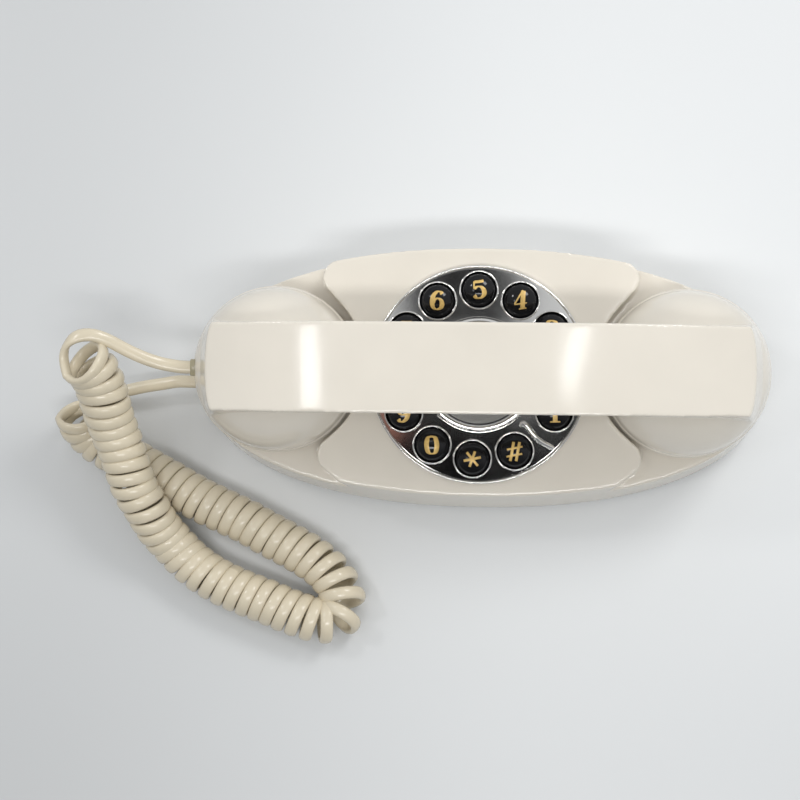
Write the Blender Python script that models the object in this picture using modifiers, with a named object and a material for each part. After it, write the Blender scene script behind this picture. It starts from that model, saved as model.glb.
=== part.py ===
"""Push-button desk telephone with a dial-shaped keypad, a lift-off handset and a curly cord.

Metres, +Z up.  +X runs along the handset, +Y points to the back, and the origin is on the
surface that the telephone stands on, under the middle of the base.  The top of the base
leans to the front, so everything on it is placed in the tilted "deck" frame, whose local
+Z is the way the keys and the handset move.
"""
import math

import bmesh
import bpy
from mathutils import Vector

MM = 0.001
GAP = 0.3 * MM                      # clearance between touching pieces

# base
BASE_HALF_LENGTH = 111.7 * MM       # half sizes on the floor plane
BASE_HALF_DEPTH = 48.8 * MM
BASE_DRAFT = 0.0567                 # how far the wall leans in, per unit of height
BASE_POWER = 2.2                    # superellipse exponent of the plan
BASE_BOTTOM = 2.0 * MM
WALL = 2.5 * MM
DECK_HEIGHT = 39.0 * MM             # height of the deck's middle
DECK_TILT = math.radians(8.5)
LEDGE_DROP = 9.5 * MM               # step from the dial panel down to the ledges
OUTLINE_POINTS = 56

# dial panel, as circles in the deck plane: (x, y, radius)
CUP_X = 78.0 * MM
PANEL_SCOOP = (CUP_X, 1.6 * MM, 34.2 * MM)
PANEL_CORNER_BACK = (53.5 * MM, 35.3 * MM, 6.6 * MM)
PANEL_CORNER_FRONT = (54.8 * MM, -32.6 * MM, 6.8 * MM)

# cup wells in the ledges
WELL_TOP_RADIUS = 27.0 * MM
WELL_FLOOR_RADIUS = 24.5 * MM
WELL_FLOOR = -16.0 * MM

# underside
SCREW_PLACES = [(x * MM, y * MM) for x in (-66, 66) for y in (-19, 19)]
FOOT_PLACES = [(x * MM, y * MM) for x in (-82, 82) for y in (-24, 24)]
PAN_TOP = 4.5 * MM
POST_RADIUS = 3.5 * MM
PILOT_RADIUS = 1.7 * MM
SCREW_RADIUS = 1.3 * MM
SCREW_HEAD_RADIUS = 3.0 * MM
FOOT_RADIUS = 6.0 * MM

# back wall, seen from behind: two slide knobs and the line jack
BACK_WALL_Y = 48.1 * MM             # outside of the back wall at the knobs' height
KNOB_Z = 12.0 * MM
KNOB_TRAVEL = 4.0 * MM
RINGER_KNOB_X = -18.0 * MM
TONE_KNOB_X = 12.0 * MM
LINE_JACK_X = 40.0 * MM

# hook switch, in the deck frame
PLUNGER_Y = 7.5 * MM
PLUNGER_RADIUS = 3.0 * MM
HOOK_BAR_TOP = -24.0 * MM
HOOK_BAR_BOTTOM = -26.0 * MM

# boxes inside the base and the handset: two opposite corners, in millimetres
MAIN_BOARD = ((-38, -36, 7.0), (38, -4, 8.6))
BALLAST_PLATE = ((-38, 18, 4.8), (26, 36, 8.8))
HOOK_SWITCH_BODY = ((-6, 7.5, 4.8), (6, 15.5, 13.4))
HANDSET_WEIGHT = ((-22, -9, 31), (22, 9, 37))
CHIPS = ((-20, -22, 18, 12, 3), (12, -26, 10, 8, 2), (24, -14, 8, 8, 9), (-4, -12, 9, 7, 6))
KEY_BOARD_RADIUS = 37.0 * MM
SPEAKER_X = 58.0 * MM

# dial
DIAL_Y = -1.4 * MM
DIAL_RADIUS = 41.5 * MM
DIAL_OPENING = 40.3 * MM
DIAL_TOP = 2.8 * MM
KEY_RING_RADIUS = 32.0 * MM
KEY_FIRST_ANGLE = -26.4
KEY_STEP_ANGLE = 29.27
KEY_RADIUS = 6.4 * MM
KEY_HOLE_RADIUS = 6.9 * MM
KEY_NAMES = ("1", "2", "3", "4", "5", "6", "7", "8", "9", "0", "star", "hash")
HUB_RADIUS = 22.3 * MM
CARD_RADIUS = 18.6 * MM

# handset, in the deck frame
CUP_RADIUS = 32.0 * MM
CUP_RIM = -2.0 * MM
CUP_CROWN = 32.0 * MM
HANDLE_HALF_WIDTH = 16.25 * MM
HANDLE_TOP = 46.0 * MM
HANDLE_DROP = 15.0 * MM             # how far the top falls by the handle's ends
HANDLE_DROP_POWER = 3.2
HANDLE_END = 99.5 * MM
HANDSET_END = 109.8 * MM
HANDLE_UNDER = 27.0 * MM
CAP_BOTTOM = WELL_FLOOR + GAP
COVER_END = 44.4 * MM

# cord
CORD_RADIUS = 2.2 * MM
COIL_RADIUS = 8.9 * MM
HANDSET_JACK_Z = 4.6 * MM           # in the deck frame
PLUG_HALF_WIDTH = 3.3 * MM
BASE_JACK = (-1.5 * MM, 12.0 * MM)  # y and z in the object's frame

PALETTE = {
    "ivory": ((0.78, 0.74, 0.64, 1.0), 0.25, 0.0),
    "chrome": ((0.78, 0.78, 0.80, 1.0), 0.10, 1.0),
    "gloss_black": ((0.01, 0.01, 0.01, 1.0), 0.12, 0.0),
    "steel": ((0.50, 0.50, 0.52, 1.0), 0.35, 1.0),
    "rubber": ((0.05, 0.05, 0.05, 1.0), 0.80, 0.0),
    "board": ((0.05, 0.22, 0.10, 1.0), 0.50, 0.0),
    "card": ((0.70, 0.72, 0.72, 1.0), 0.70, 0.0),
    "clear": ((0.90, 0.92, 0.95, 1.0), 0.05, 0.0),
    "cord": ((0.66, 0.60, 0.47, 1.0), 0.40, 0.0),
    "black": ((0.04, 0.04, 0.04, 1.0), 0.50, 0.0),
}

# The exact solver leaves open edges in these two thin-walled shells.
MANIFOLD_SHELLS = ("housing", "handset_shell")

PARTS = None
CUTTERS = None
DECK = None


# ---------------------------------------------------------------- scene and helpers

def start_scene():
    """Empties the scene and makes the two collections and the deck frame."""
    global PARTS, CUTTERS, DECK
    for obj in list(bpy.data.objects):
        bpy.data.objects.remove(obj)
    PARTS = bpy.data.collections.new("telephone")
    CUTTERS = bpy.data.collections.new("cutters")
    for group in (PARTS, CUTTERS):
        bpy.context.scene.collection.children.link(group)
    DECK = bpy.data.objects.new("deck_frame", None)
    DECK.location = (0.0, 0.0, DECK_HEIGHT)
    DECK.rotation_euler = (DECK_TILT, 0.0, 0.0)
    PARTS.objects.link(DECK)


def add_part(obj, finish, on_deck=False):
    """Puts an object among the parts, with its own material."""
    colour, roughness, metallic = PALETTE[finish]
    skin = bpy.data.materials.new(obj.name + "_finish")
    skin.use_nodes = True
    shader = skin.node_tree.nodes["Principled BSDF"]
    shader.inputs["Base Color"].default_value = colour
    shader.inputs["Roughness"].default_value = roughness
    shader.inputs["Metallic"].default_value = metallic
    obj.data.materials.clear()
    obj.data.materials.append(skin)
    PARTS.objects.link(obj)
    if on_deck:
        obj.parent = DECK
    return obj


def add_cutter(obj, on_deck=False):
    """Puts an object among the cutters, which are never part of the telephone."""
    obj.hide_render = True
    obj.display_type = "WIRE"
    CUTTERS.objects.link(obj)
    if on_deck:
        obj.parent = DECK
    return obj


def combine(obj, tool, operation):
    """Adds a Boolean modifier."""
    step = obj.modifiers.new(tool.name, "BOOLEAN")
    step.operation = operation
    step.solver = "MANIFOLD" if obj.name in MANIFOLD_SHELLS else "EXACT"
    step.object = tool


def cut(obj, *tools):
    for tool in tools:
        combine(obj, tool, "DIFFERENCE")


def join(obj, *tools):
    for tool in tools:
        combine(obj, tool, "UNION")


def box(name, low, high):
    """A box between two corners."""
    mesh = bpy.data.meshes.new(name)
    shape = bmesh.new()
    bmesh.ops.create_cube(shape, size=1.0)
    size = Vector(high) - Vector(low)
    middle = (Vector(high) + Vector(low)) / 2
    for vertex in shape.verts:
        vertex.co = Vector(a * b for a, b in zip(vertex.co, size)) + middle
    shape.to_mesh(mesh)
    shape.free()
    return bpy.data.objects.new(name, mesh)


def named_box(name, corners):
    """A box from two opposite corners in millimetres."""
    return box(name, Vector(corners[0]) * MM, Vector(corners[1]) * MM)


def rod(name, radius, low, high, place=(0.0, 0.0), sides=16):
    """A straight round rod along Z."""
    mesh = bpy.data.meshes.new(name)
    shape = bmesh.new()
    bmesh.ops.create_cone(shape, cap_ends=True, segments=sides, radius1=radius,
                          radius2=radius, depth=high - low)
    shape.to_mesh(mesh)
    shape.free()
    obj = bpy.data.objects.new(name, mesh)
    obj.location = (place[0], place[1], (low + high) / 2)
    return obj


def turned(name, profile, place=(0.0, 0.0, 0.0), steps=32, ring=False):
    """A turned shape; the profile of (radius, z) runs down its outer side."""
    count = len(profile)
    edges = [(i, i + 1) for i in range(count - 1)]
    if ring:
        edges.append((count - 1, 0))
    mesh = bpy.data.meshes.new(name)
    mesh.from_pydata([(radius, 0.0, z) for radius, z in profile], edges, [])
    obj = bpy.data.objects.new(name, mesh)
    obj.location = place
    screw = obj.modifiers.new("turn", "SCREW")
    screw.steps = steps
    screw.render_steps = steps
    screw.use_merge_vertices = True
    screw.merge_threshold = 0.00001
    weld = obj.modifiers.new("weld", "WELD")
    weld.merge_threshold = 0.00001
    return obj


def curve_mesh(name, curve):
    """Turns a curve into a closed mesh whose caps are welded."""
    holder = bpy.data.objects.new(name + "_guide", curve)
    bpy.context.scene.collection.objects.link(holder)
    graph = bpy.context.evaluated_depsgraph_get()
    mesh = bpy.data.meshes.new_from_object(holder.evaluated_get(graph))
    shape = bmesh.new()
    shape.from_mesh(mesh)
    bmesh.ops.remove_doubles(shape, verts=shape.verts, dist=0.000005)
    bmesh.ops.recalc_face_normals(shape, faces=shape.faces)
    shape.to_mesh(mesh)
    shape.free()
    mesh.name = name
    bpy.data.objects.remove(holder)
    return mesh


def slab(name, outline, low, high):
    """A flat outline of (x, y) points made solid between two heights."""
    curve = bpy.data.curves.new(name, "CURVE")
    curve.dimensions = "2D"
    curve.fill_mode = "BOTH"
    curve.extrude = (high - low) / 2
    spline = curve.splines.new("POLY")
    spline.points.add(len(outline) - 1)
    for point, (x, y) in zip(spline.points, outline):
        point.co = (x, y, 0.0, 1.0)
    spline.use_cyclic_u = True
    obj = bpy.data.objects.new(name, curve_mesh(name, curve))
    obj.location = (0.0, 0.0, (low + high) / 2)
    return obj


def side_slab(name, outline, half_width):
    """An outline of (x, z) points made solid across the Y direction."""
    obj = slab(name, outline, -half_width, half_width)
    obj.rotation_euler = (math.pi / 2, 0.0, 0.0)
    return obj


def tube(name, points, radius, resolution=2):
    """A round tube with closed ends along a list of points."""
    curve = bpy.data.curves.new(name, "CURVE")
    curve.dimensions = "3D"
    curve.bevel_depth = radius
    curve.bevel_resolution = resolution
    curve.use_fill_caps = True
    spline = curve.splines.new("POLY")
    spline.points.add(len(points) - 1)
    for point, place in zip(spline.points, points):
        point.co = (*place, 1.0)
    return bpy.data.objects.new(name, curve_mesh(name, curve))


def arc(centre, radius, start, end, count):
    """Points on a circle from one angle to another, in radians."""
    steps = [start + (end - start) * i / count for i in range(count + 1)]
    return [(centre[0] + radius * math.cos(t), centre[1] + radius * math.sin(t)) for t in steps]


def route(*points):
    """Points given in millimetres."""
    return [Vector(point) * MM for point in points]


def smooth_path(corners, count):
    """Evenly spaced points on a Catmull-Rom curve through the given corners."""
    guide = [2 * corners[0] - corners[1]] + corners + [2 * corners[-1] - corners[-2]]
    fine = []
    for i in range(1, len(guide) - 2):
        a, b, c, d = guide[i - 1:i + 3]
        for step in range(24):
            t = step / 24
            fine.append(0.5 * (2 * b + (c - a) * t + (2 * a - 5 * b + 4 * c - d) * t * t
                               + (3 * b - a - 3 * c + d) * t ** 3))
    fine.append(corners[-1])
    travelled = [0.0]
    for first, second in zip(fine, fine[1:]):
        travelled.append(travelled[-1] + (second - first).length)
    points = []
    here = 0
    for i in range(count):
        goal = travelled[-1] * i / (count - 1)
        while here < len(fine) - 2 and travelled[here + 1] < goal:
            here += 1
        span = travelled[here + 1] - travelled[here]
        points.append(fine[here].lerp(fine[here + 1], (goal - travelled[here]) / span))
    return points


def smooth(obj):
    """Shades a round piece smooth but keeps its real edges."""
    obj.data.shade_smooth()
    obj.data.set_sharp_from_angle(angle=math.radians(35))
    return obj


# ---------------------------------------------------------------- base shapes

def plan_point(turn, height, inset):
    """A point of the base's drafted wall at an angle, for a given height."""
    reach = inset + BASE_DRAFT * height
    x = abs(math.cos(turn)) ** (2 / BASE_POWER) * (BASE_HALF_LENGTH - reach)
    y = abs(math.sin(turn)) ** (2 / BASE_POWER) * (BASE_HALF_DEPTH - reach)
    return math.copysign(x, math.cos(turn)), math.copysign(y, math.sin(turn))


def base_body(name, inset, bottom, drop, flat_top=None):
    """The base's outside shape, inset, between a flat bottom and the tilted deck plane."""
    rings = [[], []]
    for i in range(OUTLINE_POINTS):
        turn = 2 * math.pi * (i + 0.5) / OUTLINE_POINTS
        x, y = plan_point(turn, bottom, inset)
        rings[0].append((x, y, bottom))
        top = flat_top
        if flat_top is None:
            top = DECK_HEIGHT
            for _ in range(6):
                y = plan_point(turn, top, inset)[1]
                top = DECK_HEIGHT - drop / math.cos(DECK_TILT) + y * math.tan(DECK_TILT)
        x, y = plan_point(turn, top, inset)
        rings[1].append((x, y, top))
    shape = bmesh.new()
    low, high = [[shape.verts.new(point) for point in ring] for ring in rings]
    for i in range(OUTLINE_POINTS):
        j = (i + 1) % OUTLINE_POINTS
        shape.faces.new((low[i], low[j], high[j], high[i]))
    shape.faces.new(list(reversed(low)))
    shape.faces.new(high)
    mesh = bpy.data.meshes.new(name)
    shape.to_mesh(mesh)
    shape.free()
    return bpy.data.objects.new(name, mesh)


def panel_half_edge(corner, grow, side):
    """The panel's side edge from the middle of its scoop to beyond the rim.

    The scoop and the corner are circles, and a straight line touches both.  The corner is
    given on the right; side is +1 for the back half and -1 for the front half.
    """
    scoop = Vector((PANEL_SCOOP[0], PANEL_SCOOP[1] * side))
    scoop_radius = PANEL_SCOOP[2] + grow
    middle = Vector((corner[0], corner[1] * side))
    radius = corner[2] - grow
    across = scoop - middle
    lean = math.acos(min(1.0, (scoop_radius + radius) / across.length))
    touch = math.atan2(across.y, across.x) + lean
    leave = math.radians(50)
    points = arc(scoop, scoop_radius, math.pi, touch + math.pi, 7)
    points += arc(middle, radius, touch, leave, 6)
    last = Vector(points[-1]) + 12 * MM * Vector((-math.sin(leave), math.cos(leave)))
    points.append((last.x, last.y))
    return [(x, y * side) for x, y in points]


def ledge_outline(grow, mirror):
    """Everything beside the dial panel on one side, as an outline in the deck plane."""
    far = 140 * MM
    back = panel_half_edge(PANEL_CORNER_BACK, grow, 1)
    front = panel_half_edge(PANEL_CORNER_FRONT, grow, -1)
    outline = list(reversed(back)) + front[1:]
    outline += [(front[-1][0], -far), (far, -far), (far, far), (back[-1][0], far)]
    return [(x * mirror, y) for x, y in outline]


def ledge_cutters(name, grow, depth):
    """The two cutters that lower the base beside the panel."""
    tools = []
    for side, mirror in (("right", 1), ("left", -1)):
        tool = slab(name + "_" + side, ledge_outline(grow, mirror), -depth, 40 * MM)
        tools.append(add_cutter(tool, on_deck=True))
    return tools


def post_top(y):
    """Height at which a post under a well reaches into the well's floor."""
    middle = WELL_FLOOR - WALL / 2
    return DECK_HEIGHT + y * math.tan(DECK_TILT) + middle * math.cos(DECK_TILT)


def make_housing():
    housing = base_body("housing", 0.0, BASE_BOTTOM, 0.0)
    cut(housing, *ledge_cutters("ledge", 0.0, LEDGE_DROP))
    cavity = add_cutter(base_body("cavity", WALL, -2 * MM, WALL))
    cut(cavity, *ledge_cutters("inner_ledge", WALL, LEDGE_DROP + WALL))
    for side, x in (("left", -CUP_X), ("right", CUP_X)):
        boss = turned("well_boss_" + side, [
            (0.0, -LEDGE_DROP + 5 * MM), (WELL_TOP_RADIUS + 1.6 * MM, -LEDGE_DROP + 5 * MM),
            (WELL_TOP_RADIUS + 1.6 * MM, -LEDGE_DROP),
            (WELL_FLOOR_RADIUS + 2 * MM, WELL_FLOOR - WALL), (0.0, WELL_FLOOR - WALL)],
            (x, 0.0, 0.0), steps=28)
        cut(cavity, add_cutter(boss, on_deck=True))
    for number, (x, y) in enumerate(SCREW_PLACES):
        post = rod("post_%d" % number, POST_RADIUS, PAN_TOP + GAP, post_top(y), (x, y))
        cut(cavity, add_cutter(post))
    cut(housing, cavity)
    for side, x in (("left", -CUP_X), ("right", CUP_X)):
        well = turned("well_" + side, [
            (0.0, 0.0), (WELL_TOP_RADIUS + 1.5 * MM, 0.0), (WELL_TOP_RADIUS, -LEDGE_DROP),
            (WELL_FLOOR_RADIUS, WELL_FLOOR), (0.0, WELL_FLOOR)], (x, 0.0, 0.0), steps=32)
        cut(housing, add_cutter(well, on_deck=True))
        hole = rod("plunger_hole_" + side, PLUNGER_RADIUS + 0.5 * MM, -24 * MM, -10 * MM,
                   (x, PLUNGER_Y))
        cut(housing, add_cutter(hole, on_deck=True))
    opening = rod("dial_opening", DIAL_OPENING, -6 * MM, 6 * MM, (0.0, DIAL_Y), sides=36)
    cut(housing, add_cutter(opening, on_deck=True))
    for number, (x, y) in enumerate(SCREW_PLACES):
        pilot = rod("pilot_%d" % number, PILOT_RADIUS, 3 * MM, 13 * MM, (x, y), 12)
        cut(housing, add_cutter(pilot))
    y, z = BASE_JACK
    cut(housing, add_cutter(box("cord_opening", (-116 * MM, y - 4.8 * MM, z - 4.3 * MM),
                                (-100 * MM, y + 4.8 * MM, z + 4.3 * MM))))
    cut(housing, add_cutter(box("line_opening", (LINE_JACK_X - 6.3 * MM, 36 * MM, 5.7 * MM),
                                (LINE_JACK_X + 6.3 * MM, 56 * MM, 18.3 * MM))))
    for name, x in (("ringer", RINGER_KNOB_X), ("tone", TONE_KNOB_X)):
        cut(housing, add_cutter(box(name + "_slot", (x - 2.4 * MM, 40 * MM, KNOB_Z - 2.2 * MM),
                                    (x + 2.4 * MM + KNOB_TRAVEL, 56 * MM, KNOB_Z + 2.2 * MM))))
    add_part(housing, "ivory")


def make_base_pan():
    pan = base_body("base_pan", WALL + GAP, BASE_BOTTOM, 0.0, flat_top=PAN_TOP)
    for number, (x, y) in enumerate(SCREW_PLACES):
        cut(pan, add_cutter(rod("head_recess_%d" % number, 3.5 * MM, 0.0, 3.3 * MM, (x, y))))
        cut(pan, add_cutter(rod("screw_hole_%d" % number, 1.8 * MM, 1 * MM, 6 * MM, (x, y), 12)))
    add_part(pan, "ivory")


def make_feet_and_screws():
    for number, (x, y) in enumerate(FOOT_PLACES):
        foot = turned("rubber_foot_%d" % (number + 1), [
            (0.0, 1.7 * MM), (FOOT_RADIUS, 1.7 * MM), (FOOT_RADIUS, 0.5 * MM),
            (FOOT_RADIUS - 0.5 * MM, 0.0), (0.0, 0.0)], (x, y, 0.0), steps=20)
        add_part(smooth(foot), "rubber")
    for number, (x, y) in enumerate(SCREW_PLACES):
        screw = turned("base_screw_%d" % (number + 1), [
            (0.0, 11 * MM), (SCREW_RADIUS, 11 * MM), (SCREW_RADIUS, 3.0 * MM),
            (SCREW_HEAD_RADIUS, 3.0 * MM), (SCREW_HEAD_RADIUS, 2.2 * MM), (0.0, 2.2 * MM)],
            (x, y, 0.0), steps=12)
        add_part(smooth(screw), "steel")


# ---------------------------------------------------------------- inside the base

def make_electronics():
    """Main board with its chips, the key board and its rubber mat, ribbon, ballast, speaker."""
    board = named_box("main_board", MAIN_BOARD)
    face = MAIN_BOARD[1][2]
    for number, (x, y, length, width, height) in enumerate(CHIPS):
        chip = named_box("chip_%d" % number, ((x - length / 2, y - width / 2, face - 0.6),
                                              (x + length / 2, y + width / 2, face + height)))
        join(board, add_cutter(chip))
    add_part(board, "board")
    key_board = rod("keypad_board", KEY_BOARD_RADIUS, -10 * MM, -8.4 * MM, (0.0, DIAL_Y), sides=28)
    add_part(key_board, "board", on_deck=True)
    mat = turned("keypad_mat", [
        (0.0, -6.8 * MM), (26 * MM, -6.8 * MM), (27.5 * MM, -6.0 * MM), (36.5 * MM, -6.0 * MM),
        (37 * MM, -6.8 * MM), (37 * MM, -8.1 * MM), (0.0, -8.1 * MM)],
        (0.0, DIAL_Y, 0.0), steps=28)
    add_part(smooth(mat), "rubber", on_deck=True)
    bend = route((0, -26, 10.8), (0, -24, 14), (0, -20, 17.5), (0, -15, 20), (0, -9, 22.5),
                 (0, -4, 25.6))
    ribbon = tube("keypad_ribbon", smooth_path(bend, 9), 0.8 * MM)
    add_part(ribbon, "card")
    add_part(named_box("ballast_plate", BALLAST_PLATE), "steel")
    speaker = turned("ringer_speaker", [
        (0.0, 13 * MM), (7 * MM, 13 * MM), (7 * MM, 10 * MM), (13.5 * MM, 6.6 * MM),
        (14 * MM, 6.2 * MM), (14 * MM, 4.8 * MM), (0.0, 4.8 * MM)],
        (SPEAKER_X, 0.0, 0.0), steps=28)
    add_part(smooth(speaker), "steel")


def jack_body(name, low, high, pocket_low, pocket_high, finish, on_deck=False):
    """A modular socket: a box with a pocket open at one side."""
    body = box(name, low, high)
    cut(body, add_cutter(box(name + "_pocket", pocket_low, pocket_high), on_deck=on_deck))
    return add_part(body, finish, on_deck=on_deck)


def make_base_jacks():
    y, z = BASE_JACK
    jack_body("base_handset_jack", (-109 * MM, y - 4.5 * MM, z - 4 * MM),
              (-96 * MM, y + 4.5 * MM, z + 4 * MM), (-112 * MM, y - 3.6 * MM, z - 2.9 * MM),
              (-98 * MM, y + 3.6 * MM, z + 2.9 * MM), "black")
    jack_body("line_jack", (LINE_JACK_X - 6 * MM, 31 * MM, 6 * MM),
              (LINE_JACK_X + 6 * MM, 43.5 * MM, 18 * MM),
              (LINE_JACK_X - 4.8 * MM, 34 * MM, 8.5 * MM),
              (LINE_JACK_X + 4.8 * MM, 47 * MM, 15.5 * MM), "black")


def make_knobs():
    """Two small slide knobs in the back wall; each moves along X."""
    for name, x in (("ringer_switch_knob", RINGER_KNOB_X), ("tone_pulse_knob", TONE_KNOB_X)):
        knob = box(name, (-1.9 * MM, -4.6 * MM, -1.8 * MM), (1.9 * MM, 0.9 * MM, 1.8 * MM))
        knob.location = (x, BACK_WALL_Y, KNOB_Z)
        flange = add_cutter(box(name + "_flange", (-4 * MM, -4.7 * MM, -3.4 * MM),
                                (4 * MM, -3.5 * MM, 3.4 * MM)))
        flange.location = knob.location
        join(knob, flange)
        add_part(knob, "black")


def make_hook_switch():
    """The bar and its two cradle plungers, which move together along the deck's normal."""
    bar = box("hook_bar", (-82 * MM, 4.5 * MM, HOOK_BAR_BOTTOM), (82 * MM, 10.5 * MM, HOOK_BAR_TOP))
    add_part(bar, "steel", on_deck=True)
    for side, x in (("left", -CUP_X), ("right", CUP_X)):
        plunger = turned("hook_plunger_" + side, [
            (0.0, WELL_FLOOR - GAP), (1.8 * MM, WELL_FLOOR - GAP - 0.2 * MM),
            (PLUNGER_RADIUS, WELL_FLOOR - 1.6 * MM), (PLUNGER_RADIUS, HOOK_BAR_TOP + GAP),
            (0.0, HOOK_BAR_TOP + GAP)], (x, PLUNGER_Y, 0.0), steps=20)
        add_part(smooth(plunger), "ivory", on_deck=True)
    add_part(named_box("hook_switch_body", HOOK_SWITCH_BODY), "black")
    spring = rod("hook_spring", 2.5 * MM, 4.8 * MM, 13.4 * MM, (-30 * MM, 11 * MM), 10)
    add_part(spring, "steel")


# ---------------------------------------------------------------- dial

def key_place(number):
    """Centre of one key in the deck frame."""
    turn = math.radians(KEY_FIRST_ANGLE + KEY_STEP_ANGLE * number)
    return KEY_RING_RADIUS * math.cos(turn), DIAL_Y + KEY_RING_RADIUS * math.sin(turn)


def make_dial():
    plate = turned("dial_plate", [
        (0.0, DIAL_TOP), (39.6 * MM, DIAL_TOP), (40.6 * MM, DIAL_TOP + 0.3 * MM),
        (DIAL_RADIUS, DIAL_TOP - 0.5 * MM), (DIAL_RADIUS, GAP), (0.0, GAP)],
        (0.0, DIAL_Y, 0.0), steps=44)
    for number in range(len(KEY_NAMES)):
        hole = rod("key_hole_%d" % number, KEY_HOLE_RADIUS, -3 * MM, 8 * MM, key_place(number), 14)
        cut(plate, add_cutter(hole, on_deck=True))
    add_part(plate, "chrome", on_deck=True)
    base = DIAL_TOP + GAP
    hub = turned("hub_ring", [
        (CARD_RADIUS + 0.4 * MM, base + 2 * MM), (CARD_RADIUS + 1.4 * MM, base + 2.2 * MM),
        (HUB_RADIUS - 1.0 * MM, base + 1.6 * MM), (HUB_RADIUS, base + 0.4 * MM),
        (HUB_RADIUS, base), (CARD_RADIUS + 0.4 * MM, base)],
        (0.0, DIAL_Y, 0.0), steps=32, ring=True)
    add_part(smooth(hub), "chrome", on_deck=True)
    card = rod("number_card", CARD_RADIUS, base, base + 0.4 * MM, (0.0, DIAL_Y), sides=32)
    add_part(card, "card", on_deck=True)
    window = turned("card_window", [
        (0.0, base + 1.8 * MM), (10 * MM, base + 1.6 * MM), (CARD_RADIUS, base + 1.2 * MM),
        (CARD_RADIUS, base + 0.7 * MM), (0.0, base + 0.7 * MM)], (0.0, DIAL_Y, 0.0), steps=32)
    add_part(smooth(window), "clear", on_deck=True)
    bend = route((17.0, -20.3, 7.0), (19.6, -22.6, 7.3), (22.4, -24.8, 7.2), (25.4, -26.9, 6.4),
                 (27.6, -28.4, 5.0), (28.6, -29.1, 3.9))
    stop = tube("finger_stop", smooth_path(bend, 9), 0.7 * MM)
    add_part(stop, "chrome", on_deck=True)


def make_keys():
    """Twelve domed keys, each with a flange under the plate and a stem above the mat."""
    flange = 7.6 * MM
    stem = 3.5 * MM
    profile = [(0.0, 6.6 * MM), (2.8 * MM, 6.2 * MM), (5.2 * MM, 4.8 * MM), (KEY_RADIUS, 2.4 * MM),
               (KEY_RADIUS, -0.5 * MM), (flange, -0.5 * MM), (flange, -1.6 * MM),
               (stem, -1.6 * MM), (stem, -4.0 * MM), (0.0, -4.0 * MM)]
    for number, name in enumerate(KEY_NAMES):
        x, y = key_place(number)
        key = turned("button_" + name, profile, (x, y, 0.0), steps=14)
        add_part(smooth(key), "gloss_black", on_deck=True)


# ---------------------------------------------------------------- handset

def handle_top(x):
    """Height of the handle's upper face."""
    return HANDLE_TOP - HANDLE_DROP * (abs(x) / HANDLE_END) ** HANDLE_DROP_POWER


def handle_under(x):
    """Height of the handle's under face."""
    return HANDLE_UNDER - 9 * MM * (abs(x) / (60 * MM)) ** 2.5


def along(start, end, count):
    return [start + (end - start) * i / count for i in range(count + 1)]


def dome(name, x, inset):
    """One cup as a solid dome, or its hollow when there is an inset."""
    radius = CUP_RADIUS - inset
    height = CUP_CROWN - inset - CUP_RIM
    foot = CUP_RIM - (2 * MM if inset else 0.0)
    profile = []
    for i in range(7):
        turn = math.pi / 2 * i / 6
        profile.append((radius * math.sin(turn), CUP_RIM + height * math.cos(turn)))
    profile += [(radius, foot - 0.01 * MM), (0.0, foot - 0.01 * MM)]
    return turned(name, profile, (x, 0.0, 0.0), steps=32)


def handle_outline():
    outline = [(x, handle_top(x)) for x in along(-HANDLE_END, HANDLE_END, 20)]
    outline += [(HANDSET_END, CUP_RIM), (62 * MM, CUP_RIM), (62 * MM, 16 * MM)]
    outline += [(x, handle_under(x)) for x in along(60 * MM, -60 * MM, 12)]
    outline += [(-62 * MM, 16 * MM), (-62 * MM, CUP_RIM), (-HANDSET_END, CUP_RIM)]
    return outline


def channel_outline():
    """The hollow of the handle: open underneath between the cups."""
    inner_end = HANDLE_END - 3 * MM
    outline = [(x, handle_top(x) - WALL) for x in along(-inner_end, inner_end, 20)]
    outline += [(98 * MM, 14 * MM), (64 * MM, 14 * MM), (64 * MM, 20 * MM)]
    outline += [(48 * MM, handle_under(48 * MM) + WALL), (45 * MM, handle_under(45 * MM) + WALL)]
    outline += [(45 * MM, 8 * MM), (-45 * MM, 8 * MM)]
    outline += [(-45 * MM, handle_under(45 * MM) + WALL), (-48 * MM, handle_under(48 * MM) + WALL)]
    outline += [(-64 * MM, 20 * MM), (-64 * MM, 14 * MM), (-98 * MM, 14 * MM)]
    return outline


def end_plan():
    """Plan outline that rounds the two ends of the handle."""
    radius = 39 * MM
    centre = HANDSET_END - radius
    swing = math.asin(30 * MM / radius)
    right = arc((centre, 0.0), radius, -swing, swing, 12)
    left = arc((-centre, 0.0), radius, math.pi - swing, math.pi + swing, 12)
    return right + left


def make_handset_shell():
    shell = side_slab("handset_shell", handle_outline(), HANDLE_HALF_WIDTH)
    combine(shell, add_cutter(slab("end_plan", end_plan(), -20 * MM, 60 * MM), on_deck=True),
            "INTERSECT")
    for side, x in (("left", -CUP_X), ("right", CUP_X)):
        join(shell, add_cutter(dome("cup_" + side, x, 0.0), on_deck=True))
    channel = side_slab("channel", channel_outline(), HANDLE_HALF_WIDTH - WALL)
    cut(shell, add_cutter(channel, on_deck=True))
    for side, x in (("left", -CUP_X), ("right", CUP_X)):
        cut(shell, add_cutter(dome("cup_hollow_" + side, x, WALL), on_deck=True))
    slot = box("handset_cord_slot", (-114 * MM, -4.8 * MM, HANDSET_JACK_Z - 3.7 * MM),
               (-94 * MM, 4.8 * MM, HANDSET_JACK_Z + 3.7 * MM))
    cut(shell, add_cutter(slot, on_deck=True))
    add_part(shell, "ivory", on_deck=True)


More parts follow.
